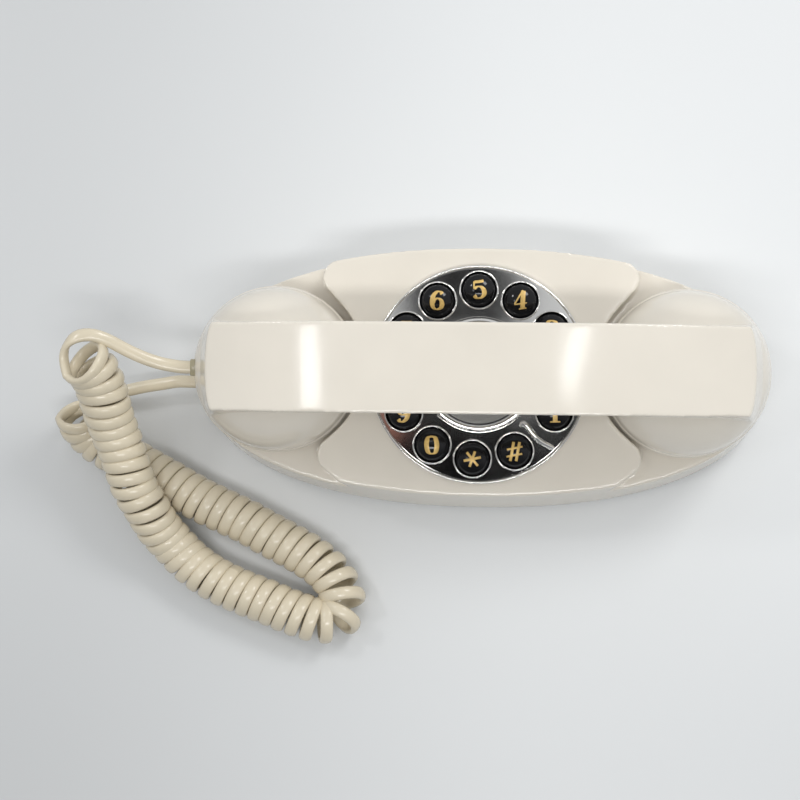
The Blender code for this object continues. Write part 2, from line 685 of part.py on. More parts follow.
def make_handset_cover():
    """The strip that closes the handle underneath, and its two screws."""
    outline = [(x, handle_under(x) + 2.2 * MM) for x in along(-COVER_END, COVER_END, 10)]
    outline += [(x, handle_under(x)) for x in along(COVER_END, -COVER_END, 10)]
    cover = side_slab("handset_cover", outline, HANDLE_HALF_WIDTH - WALL - GAP)
    for number, x in enumerate((-34 * MM, 34 * MM)):
        floor = handle_under(x)
        hole = rod("cover_hole_%d" % number, 1.8 * MM, floor - 2 * MM, floor + 6 * MM, (x, 0.0), 12)
        cut(cover, add_cutter(hole, on_deck=True))
        screw = turned("handset_screw_%d" % (number + 1), [
            (0.0, floor + 9 * MM), (1.4 * MM, floor + 9 * MM), (1.4 * MM, floor - 0.8 * MM),
            (2.6 * MM, floor - 0.8 * MM), (2.2 * MM, floor - 1.6 * MM), (0.0, floor - 1.8 * MM)],
            (x, 0.0, 0.0), steps=12)
        add_part(smooth(screw), "steel", on_deck=True)
    add_part(cover, "ivory", on_deck=True)
    add_part(named_box("handset_weight", HANDSET_WEIGHT), "steel", on_deck=True)


def make_caps():
    """The two screw-on caps that close the cups, with their sound holes."""
    profile = [(0.0, CAP_BOTTOM + 2 * MM), (21.5 * MM, CAP_BOTTOM + 2 * MM), (23.4 * MM, -8 * MM),
               (27.2 * MM, -4 * MM), (27.2 * MM, 0.0), (29.2 * MM, 0.0),
               (29.2 * MM, CUP_RIM - GAP), (31.2 * MM, CUP_RIM - GAP), (31.2 * MM, -3.6 * MM),
               (25.6 * MM, -8 * MM), (24.6 * MM, -14 * MM), (22.6 * MM, CAP_BOTTOM),
               (0.0, CAP_BOTTOM)]
    rings = {"ear_cap": ((0, 1), (8, 6)), "mouth_cap": ((0, 1), (6, 5))}
    for name, x in (("mouth_cap", -CUP_X), ("ear_cap", CUP_X)):
        cap = turned(name, profile, (x, 0.0, 0.0), steps=32)
        for ring, (radius, count) in enumerate(rings[name]):
            for i in range(count):
                turn = 2 * math.pi * (i + 0.25) / count
                place = (x + radius * MM * math.cos(turn), radius * MM * math.sin(turn))
                hole = rod("%s_hole_%d_%d" % (name, ring, i), 1.3 * MM, -20 * MM, -10 * MM,
                           place, 6)
                cut(cap, add_cutter(hole, on_deck=True))
        add_part(smooth(cap), "ivory", on_deck=True)


def make_capsules():
    """The two sound capsules and the handset's own jack."""
    for name, x, radius, depth in (("transmitter_capsule", -CUP_X, 9, 7),
                                   ("receiver_capsule", CUP_X, 17, 9)):
        low = CAP_BOTTOM + 2 * MM + GAP
        capsule = turned(name, [
            (0.0, low + depth * MM), (0.6 * radius * MM, low + depth * MM),
            (radius * MM, low + 0.5 * depth * MM), (radius * MM, low), (0.0, low)],
            (x, 0.0, 0.0), steps=24)
        add_part(smooth(capsule), "steel", on_deck=True)
    z = HANDSET_JACK_Z
    jack_body("handset_jack", (-105.5 * MM, -4.5 * MM, z - 3.4 * MM),
              (-93 * MM, 4.5 * MM, z + 3.4 * MM), (-112 * MM, -3.6 * MM, z - 2.5 * MM),
              (-96 * MM, 3.6 * MM, z + 2.5 * MM), "black", on_deck=True)


# ---------------------------------------------------------------- cord

HANDSET_TAIL = route((-114.8, -0.5, 43.8), (-121.5, 0.5, 46.0), (-128.5, 2.5, 49.0),
                     (-135.5, 5.5, 52.5), (-142.5, 9.0, 56.5), (-146.5, 9.5, 58.0),
                     (-151.0, 9.0, 58.5), (-155.0, 6.8, 57.4), (-157.2, 5.0, 56.8))
COIL_ROUTE = route((-149.4, -0.4, 56.4), (-148.0, -1.0, 54.0), (-145.5, -4.0, 50.0),
                   (-144.0, -8.5, 46.0), (-143.0, -13.0, 43.0), (-142.0, -18.5, 39.0),
                   (-140.5, -24.0, 35.0), (-138.0, -31.5, 31.0), (-135.5, -40.0, 27.5),
                   (-133.5, -46.0, 24.5), (-129.5, -53.0, 20.5), (-126.0, -59.5, 15.5),
                   (-121.0, -65.5, 11.0), (-113.5, -73.0, 9.0), (-104.5, -79.0, 9.0),
                   (-93.5, -84.0, 9.0), (-82.5, -88.0, 9.0), (-72.0, -92.0, 9.0),
                   (-63.0, -94.5, 9.0), (-57.5, -94.5, 9.0), (-53.5, -92.5, 9.0),
                   (-52.5, -87.0, 9.0), (-55.0, -80.5, 9.0), (-59.5, -75.0, 9.0),
                   (-65.5, -70.5, 9.0), (-73.5, -66.0, 9.0), (-82.5, -61.5, 9.0),
                   (-92.0, -56.5, 9.0), (-101.0, -52.5, 9.0), (-111.0, -48.0, 9.0),
                   (-123.0, -41.5, 9.0), (-132.5, -36.5, 9.0), (-141.5, -31.5, 9.0),
                   (-150.0, -27.5, 9.0), (-155.5, -23.5, 10.0), (-159.0, -19.5, 13.5),
                   (-160.0, -15.5, 18.0))
BASE_TAIL = route((-164.5, -10.5, 8.0), (-160.5, -8.8, 7.4), (-155.5, -7.6, 7.8),
                  (-149.5, -6.0, 9.0), (-142.0, -4.5, 10.0), (-135.0, -3.0, 10.5),
                  (-128.5, -2.0, 11.0), (-121.5, -1.0, 12.0), (-116.0, -1.0, 12.0))


def make_cord():
    """Two plain tails, the curly stretch as one fat tube, and the two modular plugs."""
    add_part(tube("cord_tail_handset", smooth_path(HANDSET_TAIL, 16), CORD_RADIUS), "cord")
    add_part(tube("cord_coil", smooth_path(COIL_ROUTE, 58), COIL_RADIUS), "cord")
    add_part(tube("cord_tail_base", smooth_path(BASE_TAIL, 16), CORD_RADIUS), "cord")
    z = HANDSET_JACK_Z
    plug = box("cord_plug_handset", (-114 * MM, -PLUG_HALF_WIDTH, z - 2.2 * MM),
               (-97 * MM, PLUG_HALF_WIDTH, z + 2.2 * MM))
    add_part(plug, "clear", on_deck=True)
    y, z = BASE_JACK
    plug = box("cord_plug_base", (-115.6 * MM, y - PLUG_HALF_WIDTH, z - 2.3 * MM),
               (-99 * MM, y + PLUG_HALF_WIDTH, z + 2.3 * MM))
    add_part(plug, "clear")


def main():
    start_scene()
    make_housing()
    make_base_pan()
    make_feet_and_screws()
    make_electronics()
    make_base_jacks()
    make_knobs()
    make_hook_switch()
    make_dial()
    make_keys()
    make_handset_shell()
    make_handset_cover()
    make_caps()
    make_capsules()
    make_cord()
    bpy.context.view_layer.update()


main()
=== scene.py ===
"""Looks of the push-button desk telephone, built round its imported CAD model.

Everything on the tilted top of the base is made in the "deck" frame and carried to the
object's frame by the DECK matrix.  Sizes in millimetres are multiplied by MM where used.
"""
import math

import bmesh
import bpy
import numpy as np
from mathutils import Matrix, Vector


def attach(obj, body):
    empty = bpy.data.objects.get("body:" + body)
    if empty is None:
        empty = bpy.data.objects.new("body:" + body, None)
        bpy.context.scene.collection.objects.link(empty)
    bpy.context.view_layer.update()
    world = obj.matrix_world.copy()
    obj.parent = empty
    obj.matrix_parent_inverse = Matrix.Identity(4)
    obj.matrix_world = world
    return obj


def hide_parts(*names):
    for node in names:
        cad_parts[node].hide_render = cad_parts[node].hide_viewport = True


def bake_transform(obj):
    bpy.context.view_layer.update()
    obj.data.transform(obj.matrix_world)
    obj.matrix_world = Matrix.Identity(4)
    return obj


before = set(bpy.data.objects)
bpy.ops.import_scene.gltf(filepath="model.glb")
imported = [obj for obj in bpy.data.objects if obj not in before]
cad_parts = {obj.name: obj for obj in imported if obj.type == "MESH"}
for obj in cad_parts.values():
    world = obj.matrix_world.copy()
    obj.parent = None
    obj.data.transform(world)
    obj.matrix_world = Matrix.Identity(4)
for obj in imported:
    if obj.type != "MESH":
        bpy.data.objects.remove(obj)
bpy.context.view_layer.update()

MM = 0.001

# base
BASE_HALF_LENGTH = 111.7 * MM
BASE_HALF_DEPTH = 48.8 * MM
BASE_DRAFT = 0.0567
BASE_POWER = 2.2
BASE_BOTTOM = 2.0 * MM
WALL = 2.5 * MM
DECK_HEIGHT = 39.0 * MM
DECK_TILT = math.radians(8.5)
LEDGE_DROP = 9.5 * MM
CUP_X = 78.0 * MM
PANEL_SCOOP = (CUP_X, 1.6 * MM, 34.2 * MM)
PANEL_CORNERS = {1: (53.5 * MM, 35.3 * MM, 6.6 * MM), -1: (54.8 * MM, -32.6 * MM, 6.8 * MM)}
WELL_TOP_RADIUS = 27.0 * MM
WELL_FLOOR_RADIUS = 24.5 * MM
WELL_FLOOR = -16.0 * MM
PLUNGER_Y = 7.5 * MM
BASE_JACK = (-1.5 * MM, 12.0 * MM)
BASE_JACK_HALF = (4.8 * MM, 4.3 * MM)
BASE_JACK_CUT = (-116 * MM, -100 * MM)
PLUNGER_HOLE_RADIUS = 3.5 * MM
KNOB_Z = 12.0 * MM
KNOB_TRAVEL = 4.0 * MM
KNOB_XS = (-18.0 * MM, 12.0 * MM)
KNOB_SLOT_HALF = (3.0 * MM, 2.4 * MM)
KNOB_SLOT_CUT = (40 * MM, 56 * MM)
LINE_JACK_X = 40.0 * MM
LINE_JACK_HALF_WIDTH = 6.3 * MM
LINE_JACK_HEIGHTS = (5.7 * MM, 18.3 * MM)
LINE_JACK_CUT = (36 * MM, 56 * MM)
HOUSING_VOXEL = 0.55 * MM
KEPT_FACES = 0.36

# dial
DIAL_Y = -1.4 * MM
DIAL_RADIUS = 41.5 * MM
DIAL_OPENING = 40.3 * MM
DIAL_TOP = 2.8 * MM
KEY_RING_RADIUS = 32.0 * MM
KEY_FIRST_ANGLE = -26.4
KEY_STEP_ANGLE = 29.27
KEY_RADIUS = 6.4 * MM
KEY_CROWN = 6.6 * MM
KEY_SHOULDER = 2.4 * MM
KEY_HOLE_RADIUS = 6.9 * MM
KEY_FLANGE_RADIUS = 7.6 * MM
KEY_STEM_RADIUS = 3.5 * MM
BEZEL_RADII = (6.62 * MM, 7.45 * MM)
KEY_NAMES = ("1", "2", "3", "4", "5", "6", "7", "8", "9", "0", "star", "hash")
HUB_RADIUS = 22.3 * MM
CARD_RADIUS = 18.6 * MM

# handset, in the deck frame
CUP_RADIUS = 32.0 * MM
CUP_RIM = -2.0 * MM
CUP_CROWN = 32.0 * MM
CUP_LIP = 0.7 * MM
HANDLE_HALF_WIDTH = 16.25 * MM
HANDLE_TOP = 46.0 * MM
HANDLE_DROP = 15.0 * MM
HANDLE_DROP_POWER = 3.2
HANDLE_END = 99.5 * MM
HANDLE_UNDER = 27.0 * MM
HANDLE_UNDER_END = 60 * MM
HANDLE_UNDER_DROP = 9 * MM
HANDLE_UNDER_POWER = 2.5
HANDLE_CUT_REACH = 118 * MM
CUP_CUT_X = 62 * MM
CUP_CUT_Z = 16 * MM
CHANNEL_END = 96 * MM
CHANNEL_MOUTH = 45 * MM
END_FLARE = 19.0 * MM
JACK_Z = 4.6 * MM
JACK_HALF = (4.8 * MM, 3.7 * MM)
JACK_CUT = (-114 * MM, -94 * MM)
CAP_HOLE_RADIUS = 1.3 * MM
PLUG_HALF_WIDTH = 3.2 * MM
HANDSET_VOXEL = 0.5 * MM

# cord: a flat vinyl ribbon, wound left-handed
RIBBON_WIDTH = 5.0 * MM
RIBBON_THICKNESS = 2.9 * MM
COIL_MEAN_RADIUS = 7.6 * MM
TOP_LOOP_GROWTH = 0.9 * MM
PITCH = 5.15 * MM
BEND_PITCH = 1.7 * MM
BEND_REACH = 17 * MM
TOP_LOOP_REACH = 40 * MM
COIL_LEAD = 0.09
STEPS_PER_TURN = 20
RIBBON_SIDES = 14
COIL_FINE = 24
TAIL_FINE = 12
TAIL_STEP = 2.0 * MM
# Route points in millimetres.  The coil's are the CAD part's.  The tails share their middle
# points with it, but start inside the plugs and end nearer the coil.
HANDSET_TAIL = ((-109.5, -0.5, 43.5), (-114.0, -0.5, 44.0), (-121.5, 0.5, 46.0),
                (-128.5, 2.5, 49.0), (-135.5, 5.5, 52.5), (-142.5, 9.0, 56.5),
                (-146.5, 9.5, 58.0), (-151.0, 9.0, 58.5), (-155.0, 6.5, 57.0),
                (-157.0, 3.5, 55.0))
COIL_ROUTE = ((-149.4, -0.4, 56.4), (-148.0, -1.0, 54.0), (-145.5, -4.0, 50.0),
              (-144.0, -8.5, 46.0), (-143.0, -13.0, 43.0), (-142.0, -18.5, 39.0),
              (-140.5, -24.0, 35.0), (-138.0, -31.5, 31.0), (-135.5, -40.0, 27.5),
              (-133.5, -46.0, 24.5), (-129.5, -53.0, 20.5), (-126.0, -59.5, 15.5),
              (-121.0, -65.5, 11.0), (-113.5, -73.0, 9.0), (-104.5, -79.0, 9.0),
              (-93.5, -84.0, 9.0), (-82.5, -88.0, 9.0), (-72.0, -92.0, 9.0),
              (-63.0, -94.5, 9.0), (-57.5, -94.5, 9.0), (-53.5, -92.5, 9.0),
              (-52.5, -87.0, 9.0), (-55.0, -80.5, 9.0), (-59.5, -75.0, 9.0),
              (-65.5, -70.5, 9.0), (-73.5, -66.0, 9.0), (-82.5, -61.5, 9.0),
              (-92.0, -56.5, 9.0), (-101.0, -52.5, 9.0), (-111.0, -48.0, 9.0),
              (-123.0, -41.5, 9.0), (-132.5, -36.5, 9.0), (-141.5, -31.5, 9.0),
              (-150.0, -27.5, 9.0), (-155.5, -23.5, 10.0), (-159.0, -19.5, 13.5),
              (-160.0, -15.5, 18.0))
BASE_TAIL = ((-110.5, -1.0, 12.0), (-116.5, -1.0, 12.0), (-121.5, -1.0, 12.0),
             (-128.5, -2.0, 11.0), (-135.0, -3.0, 10.5), (-142.0, -4.5, 10.0),
             (-149.5, -6.0, 9.0), (-155.5, -8.0, 9.0), (-160.5, -10.0, 10.0),
             (-164.5, -13.0, 12.5))
# The two lengths meet half a turn after the coil first crosses this Y.
CORD_JOIN_Y = -86.0 * MM

# stage and camera
FLOOR_HALF = 1.6
LIGHT_AIM = (0.0, 0.0, 0.03)
CAMERA_DISTANCE = 650.0 * MM
CAMERA_TARGET = (-32.55, -5.56, 0.0)
CAMERA_YAW, CAMERA_PITCH, CAMERA_ROLL = 3.841, 8.703, 1.285
CAMERA_LENS = 72.22

DECK = Matrix.Translation((0.0, 0.0, DECK_HEIGHT)) @ Matrix.Rotation(DECK_TILT, 4, "X")


# ---------------------------------------------------------------- materials

def material(name, colour, roughness, metallic=0.0, grain=0.0, grain_scale=900.0,
             variation=0.04, mottle_scale=60.0, rough_spread=0.05, transmission=0.0,
             specular=0.5):
    """A moulded or plated surface: mottled colour, uneven gloss and a fine bump."""
    skin = bpy.data.materials.new(name)
    skin.use_nodes = True
    nodes, links = skin.node_tree.nodes, skin.node_tree.links
    shader = nodes["Principled BSDF"]
    shader.inputs["Metallic"].default_value = metallic
    shader.inputs["Specular IOR Level"].default_value = specular
    shader.inputs["Transmission Weight"].default_value = transmission
    place = nodes.new("ShaderNodeTexCoord")
    mottle = nodes.new("ShaderNodeTexNoise")
    mottle.inputs["Scale"].default_value = mottle_scale
    mottle.inputs["Detail"].default_value = 4.0
    links.new(place.outputs["Object"], mottle.inputs["Vector"])
    tint = nodes.new("ShaderNodeValToRGB")
    dark = [c * (1.0 - variation) for c in colour] + [1.0]
    light = [min(1.0, c * (1.0 + variation)) for c in colour] + [1.0]
    tint.color_ramp.elements[0].position = 0.35
    tint.color_ramp.elements[0].color = dark
    tint.color_ramp.elements[1].position = 0.65
    tint.color_ramp.elements[1].color = light
    links.new(mottle.outputs["Fac"], tint.inputs["Fac"])
    links.new(tint.outputs["Color"], shader.inputs["Base Color"])
    gloss = nodes.new("ShaderNodeMapRange")
    gloss.inputs["To Min"].default_value = max(0.02, roughness - rough_spread)
    gloss.inputs["To Max"].default_value = roughness + rough_spread
    links.new(mottle.outputs["Fac"], gloss.inputs["Value"])
    links.new(gloss.outputs["Result"], shader.inputs["Roughness"])
    if grain:
        fine = nodes.new("ShaderNodeTexNoise")
        fine.inputs["Scale"].default_value = grain_scale
        fine.inputs["Detail"].default_value = 2.0
        links.new(place.outputs["Object"], fine.inputs["Vector"])
        bump = nodes.new("ShaderNodeBump")
        bump.inputs["Strength"].default_value = grain
        bump.inputs["Distance"].default_value = 0.0001
        links.new(fine.outputs["Fac"], bump.inputs["Height"])
        links.new(bump.outputs["Normal"], shader.inputs["Normal"])
    return skin


IVORY = material("ivory_plastic", (0.775, 0.725, 0.637), 0.12, grain=0.03, grain_scale=700,
                 variation=0.012, rough_spread=0.03)
CHROME = material("chrome_plate", (0.80, 0.79, 0.77), 0.07, metallic=1.0, grain=0.02,
                  grain_scale=300, variation=0.03, rough_spread=0.03)
BLACK_GLOSS = material("key_black", (0.006, 0.006, 0.007), 0.10, variation=0.2,
                       rough_spread=0.03, specular=0.3)
GOLD = material("figure_gold", (0.70, 0.47, 0.15), 0.38, metallic=0.15, grain=0.3,
                grain_scale=2500, variation=0.12, mottle_scale=700)
CARD = material("number_card_paper", (0.50, 0.49, 0.47), 0.65, grain=0.3, grain_scale=2500,
                variation=0.05)
WINDOW = material("card_window_clear", (0.95, 0.95, 0.94), 0.06, transmission=0.95,
                  variation=0.01, rough_spread=0.03)
VINYL = material("cord_vinyl", (0.67, 0.597, 0.455), 0.22, grain=0.12, grain_scale=1500,
                 variation=0.025, mottle_scale=110)
PLUG = material("plug_clear", (0.52, 0.47, 0.32), 0.15, transmission=0.35, variation=0.05)
RUBBER = material("foot_rubber", (0.035, 0.035, 0.035), 0.75, grain=0.4, variation=0.2)
STEEL = material("zinc_steel", (0.50, 0.50, 0.49), 0.34, metallic=1.0, grain=0.15,
                 variation=0.08, rough_spread=0.08)
BOARD = material("circuit_board", (0.03, 0.16, 0.06), 0.42, grain=0.2, variation=0.2,
                 mottle_scale=260)
BLACK = material("black_plastic", (0.03, 0.03, 0.03), 0.42, grain=0.25, variation=0.15)
RIBBON = material("ribbon_cable", (0.42, 0.42, 0.44), 0.5, grain=0.3, variation=0.1)

NODE_SKINS = {
    "base_pan": IVORY, "handset_cover": IVORY, "hook_plunger_left": IVORY,
    "hook_plunger_right": IVORY, "main_board": BOARD, "keypad_board": BOARD,
    "keypad_mat": RUBBER, "keypad_ribbon": RIBBON, "ringer_switch_knob": BLACK,
    "tone_pulse_knob": BLACK, "hook_switch_body": BLACK, "line_jack": BLACK,
    "base_handset_jack": BLACK, "handset_jack": BLACK,
}


def dress_cad_nodes():
    """Gives every node that keeps its CAD shape its own finish."""
    for name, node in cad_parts.items():
        skin = NODE_SKINS.get(name, RUBBER if name.startswith("rubber_foot") else STEEL)
        node.data.materials.clear()
        node.data.materials.append(skin)


# ---------------------------------------------------------------- mesh helpers

def finish_piece(obj, skin, body, nodes=(), smooth=35.0):
    """Sets a piece's finish, shading, body and the CAD nodes that it stands for."""
    obj.data.materials.clear()
    obj.data.materials.append(skin)
    obj.data.shade_smooth()
    if smooth < 180.0:
        obj.data.set_sharp_from_angle(angle=math.radians(smooth))
    if body:
        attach(obj, body)
    if nodes:
        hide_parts(*nodes)
    return obj


def new_object(name, verts, faces, matrix=None):
    """A mesh object from points and faces, carried by a matrix when there is one."""
    mesh = bpy.data.meshes.new(name)
    mesh.from_pydata([tuple(v) for v in verts], [], faces)
    if matrix is not None:
        mesh.transform(matrix)
    mesh.update()
    obj = bpy.data.objects.new(name, mesh)
    bpy.context.scene.collection.objects.link(obj)
    return obj


def lathe(name, profile, place=(0.0, 0.0, 0.0), steps=96, ring=False, matrix=DECK):
    """A turned solid from (radius, z) points that run down its outer side."""
    verts, faces, rows = [], [], []
    for radius, z in profile:
        if radius <= 1e-7:
            rows.append([len(verts)] * steps)
            verts.append((place[0], place[1], place[2] + z))
            continue
        rows.append(list(range(len(verts), len(verts) + steps)))
        for i in range(steps):
            turn = 2 * math.pi * i / steps
            verts.append((place[0] + radius * math.cos(turn),
                          place[1] + radius * math.sin(turn), place[2] + z))
    pairs = list(zip(rows, rows[1:]))
    if ring:
        pairs.append((rows[-1], rows[0]))
    for upper, lower in pairs:
        for i in range(steps):
            j = (i + 1) % steps
            corners = [upper[i], lower[i], lower[j], upper[j]]
            face = [c for k, c in enumerate(corners) if c not in corners[:k]]
            if len(face) > 2:
                faces.append(face)
    return new_object(name, verts, faces, matrix)


def stack(name, rings, matrix=None):
    """A closed solid lofted through rings that have the same number of points."""
    count = len(rings[0])
    verts = [point for ring in rings for point in ring]
    faces = [list(range(count))[::-1], list(range(len(verts) - count, len(verts)))]
    for level in range(len(rings) - 1):
        low, high = level * count, (level + 1) * count
        for i in range(count):
            j = (i + 1) % count
            faces.append((low + i, low + j, high + j, high + i))
    return new_object(name, verts, faces, matrix)


def slab(name, outline, low, high, matrix=DECK):
    """An outline of (x, y) points, counter-clockwise, made solid between two heights."""
    return stack(name, [[(x, y, z) for x, y in outline] for z in (low, high)], matrix)


def side_slab(name, outline, half_width, matrix=DECK):
    """An outline of (x, z) points made solid across the Y direction."""
    rings = [[(x, y, z) for x, z in outline] for y in (half_width, -half_width)]
    return stack(name, rings, matrix)


def block(name, low, high, matrix=None):
    """A box between two corners."""
    return slab(name, [(low[0], low[1]), (high[0], low[1]), (high[0], high[1]),
                       (low[0], high[1])], low[2], high[2], matrix)


def face_outwards(obj):
    """Turns every face outwards, after splitting the faces with more than four corners."""
    shape = bmesh.new()
    shape.from_mesh(obj.data)
    bmesh.ops.triangulate(shape, faces=[f for f in shape.faces if len(f.verts) > 4])
    bmesh.ops.recalc_face_normals(shape, faces=shape.faces)
    shape.to_mesh(obj.data)
    shape.free()
    return obj


def apply_modifiers(obj):
    """Replaces an object's mesh with what its modifiers make of it."""
    graph = bpy.context.evaluated_depsgraph_get()
    mesh = bpy.data.meshes.new_from_object(obj.evaluated_get(graph))
    obj.modifiers.clear()
    obj.data = mesh
    return obj


def boolean(obj, tools, operation="DIFFERENCE"):
    """Applies Booleans with a list of closed tools, which are used up."""
    face_outwards(obj)
    for tool in tools:
        face_outwards(tool)
        step = obj.modifiers.new("step", "BOOLEAN")
        step.operation = operation
        step.solver = "MANIFOLD"
        step.object = tool
    bpy.context.view_layer.update()
    apply_modifiers(obj)
    for tool in tools:
        bpy.data.objects.remove(tool)
    return obj


def soften(obj, voxel, rounds, keep):
    """Turns a sharp solid into a moulded one: every edge gets a small radius."""
    remesh = obj.modifiers.new("remesh", "REMESH")
    remesh.mode = "VOXEL"
    remesh.voxel_size = voxel
    relax = obj.modifiers.new("relax", "SMOOTH")
    relax.factor = 0.5
    relax.iterations = rounds
    fewer = obj.modifiers.new("fewer", "DECIMATE")
    fewer.ratio = keep
    bpy.context.view_layer.update()
    return apply_modifiers(obj)


def arc(centre, radius, start, end, count):
    """Points on an arc between two angles."""
    steps = [start + (end - start) * i / count for i in range(count + 1)]
    return [(centre[0] + radius * math.cos(t), centre[1] + radius * math.sin(t)) for t in steps]


def along(start, end, count):
    """Evenly spaced numbers from start to end, with both ends."""
    return [start + (end - start) * i / count for i in range(count + 1)]


# ---------------------------------------------------------------- cord

def unit(v):
    """The same directions with a length of one."""
    return v / np.linalg.norm(v, axis=-1, keepdims=True)


def smooth_line(points, fine):
    """A Catmull-Rom curve through the points."""
    points = np.asarray(points, float)
    guide = np.vstack([2 * points[0] - points[1], points, 2 * points[-1] - points[-2]])
    t = (np.arange(fine) / fine)[:, None]
    line = []
    for a, b, c, d in zip(guide, guide[1:], guide[2:], guide[3:]):
        line.append(0.5 * (2 * b + (c - a) * t + (2 * a - 5 * b + 4 * c - d) * t ** 2
                           + (3 * b - a - 3 * c + d) * t ** 3))
    return np.vstack(line + [points[-1:]])


def carried_frames(line, start_normal):
    """Tangents and two normals that are carried along a line without twisting."""
    tangents = unit(np.gradient(line, axis=0))
    normals = np.zeros_like(line)
    normal = np.asarray(start_normal, float)
    for i, tangent in enumerate(tangents):
        normal = unit(normal - tangent * (normal @ tangent))
        normals[i] = normal
    return tangents, normals, np.cross(tangents, normals)


def evened(line, step):
    """The same line with its points a fixed step apart."""
    travelled = np.r_[0.0, np.cumsum(np.linalg.norm(np.diff(line, axis=0), axis=1))]
    at = np.linspace(0.0, travelled[-1], int(round(travelled[-1] / step)) + 1)
    return np.array([np.interp(at, travelled, line[:, k]) for k in range(3)]).T


def coil_points():
    """The coil's ribbon: points on its middle and the directions that face outwards."""
    first_tail, last_tail = (np.array(t[-1]) * MM for t in (HANDSET_TAIL, BASE_TAIL))
    line = smooth_line(np.array(COIL_ROUTE) * MM, COIL_FINE)
    travelled = np.r_[0.0, np.cumsum(np.linalg.norm(np.diff(line, axis=0), axis=1))]
    _, side, up = carried_frames(line, (0.0, 0.0, 1.0))
    bend = travelled[np.argmax(line[:, 0])]
    density = 1.0 / (PITCH + BEND_PITCH * np.exp(-((travelled - bend) / BEND_REACH) ** 2))
    turns = np.r_[0.0, np.cumsum((density[1:] + density[:-1]) / 2 * np.diff(travelled))]
    start, end = first_tail - line[0], last_tail - line[-1]
    phase = math.atan2(start @ up[0], start @ side[0]) / (2 * math.pi) - COIL_LEAD
    last_phase = math.atan2(end @ up[-1], end @ side[-1]) / (2 * math.pi) + COIL_LEAD
    part_turn = (phase - last_phase) % 1.0
    total = round(turns[-1] - part_turn) + part_turn
    turns *= total / turns[-1]
    count = int(total * STEPS_PER_TURN) + 1
    at = np.linspace(0.0, total, count)

    def pick(values):
        return np.array([np.interp(at, turns, values[:, k]) for k in range(3)]).T

    radius = COIL_MEAN_RADIUS + TOP_LOOP_GROWTH * np.exp(
        -(np.interp(at, turns, travelled) / TOP_LOOP_REACH) ** 2)
    angle = 2 * math.pi * (phase - at)
    outward = (np.cos(angle)[:, None] * unit(pick(side))
               + np.sin(angle)[:, None] * unit(pick(up)))
    return pick(line) + radius[:, None] * outward, outward


def cord_line():
    """The whole ribbon from the handset's socket to the base's, with its face directions."""
    coil, outward = coil_points()
    head = smooth_line(np.vstack([np.array(HANDSET_TAIL) * MM, coil[0], coil[3]]), TAIL_FINE)
    foot = smooth_line(np.vstack([np.array(BASE_TAIL) * MM, coil[-1], coil[-4]]), TAIL_FINE)
    head, foot = (evened(tail[:-TAIL_FINE], TAIL_STEP)[:-1] for tail in (head, foot))
    line = np.vstack([head, coil, foot[::-1]])
    face = np.zeros_like(line)
    face[len(head):len(head) + len(coil)] = outward
    for rows, near in ((range(len(head)), outward[0]),
                       (range(len(line) - 1, len(line) - 1 - len(foot), -1), outward[-1])):
        for place, i in enumerate(rows):
            share = np.clip((place / len(rows) - 0.55) / 0.45, 0.0, 1.0)
            share = share * share * (3 - 2 * share)
            face[i] = (1 - share) * np.array((0.0, 0.0, 1.0)) + share * near
    for middle, tailwards in ((len(head), -6), (len(line) - len(foot), 6)):
        ease(line, middle + tailwards, 8, 10)
        ease(face, middle, 12, 24)
    tangents = unit(np.gradient(line, axis=0))
    face = unit(face - tangents * (face * tangents).sum(1)[:, None])
    return line, tangents, face


def ribbon_section():
    """A flattened round: (across, outward) points."""
    section = []
    for i in range(RIBBON_SIDES):
        turn = 2 * math.pi * (i + 0.5) / RIBBON_SIDES
        c, s = math.cos(turn), math.sin(turn)
        section.append((math.copysign(abs(c) ** 0.78, c) * RIBBON_WIDTH / 2,
                        math.copysign(abs(s) ** 0.90, s) * RIBBON_THICKNESS / 2))
    return section


def ease(values, middle, reach, passes):
    """Irons out a line, in place, near one of its points."""
    rows = np.arange(middle - reach, middle + reach)
    for _ in range(passes):
        values[rows] = (values[rows - 1] + 2 * values[rows] + values[rows + 1]) / 4


def make_cord(plugs):
    """The cord in two lengths that meet on the floor."""
    line, tangents, face = cord_line()
    across = np.cross(tangents, face)
    rings = [[p + a * u + f * v for u, v in ribbon_section()]
             for p, a, f in zip(line, across, face)]
    on_floor = line[:, 1] < CORD_JOIN_Y
    meet = int(np.argmax(on_floor)) + STEPS_PER_TURN // 2
    upper = face_outwards(stack("cord_handset_length", rings[:meet + 1]))
    lower = face_outwards(stack("cord_base_length", rings[meet:]))
    finish_piece(upper, VINYL, None, ("cord_tail_handset",), smooth=60.0)
    finish_piece(lower, VINYL, "root", ("cord_coil", "cord_tail_base"),
                 smooth=60.0)
    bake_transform(upper)


# ---------------------------------------------------------------- base

def plan_point(turn, height, inset):
    """A point on the base's oval outline at a height, inset from its outer face."""
    reach = inset + BASE_DRAFT * height
    x = abs(math.cos(turn)) ** (2 / BASE_POWER) * (BASE_HALF_LENGTH - reach)
    y = abs(math.sin(turn)) ** (2 / BASE_POWER) * (BASE_HALF_DEPTH - reach)
    return math.copysign(x, math.cos(turn)), math.copysign(y, math.sin(turn))


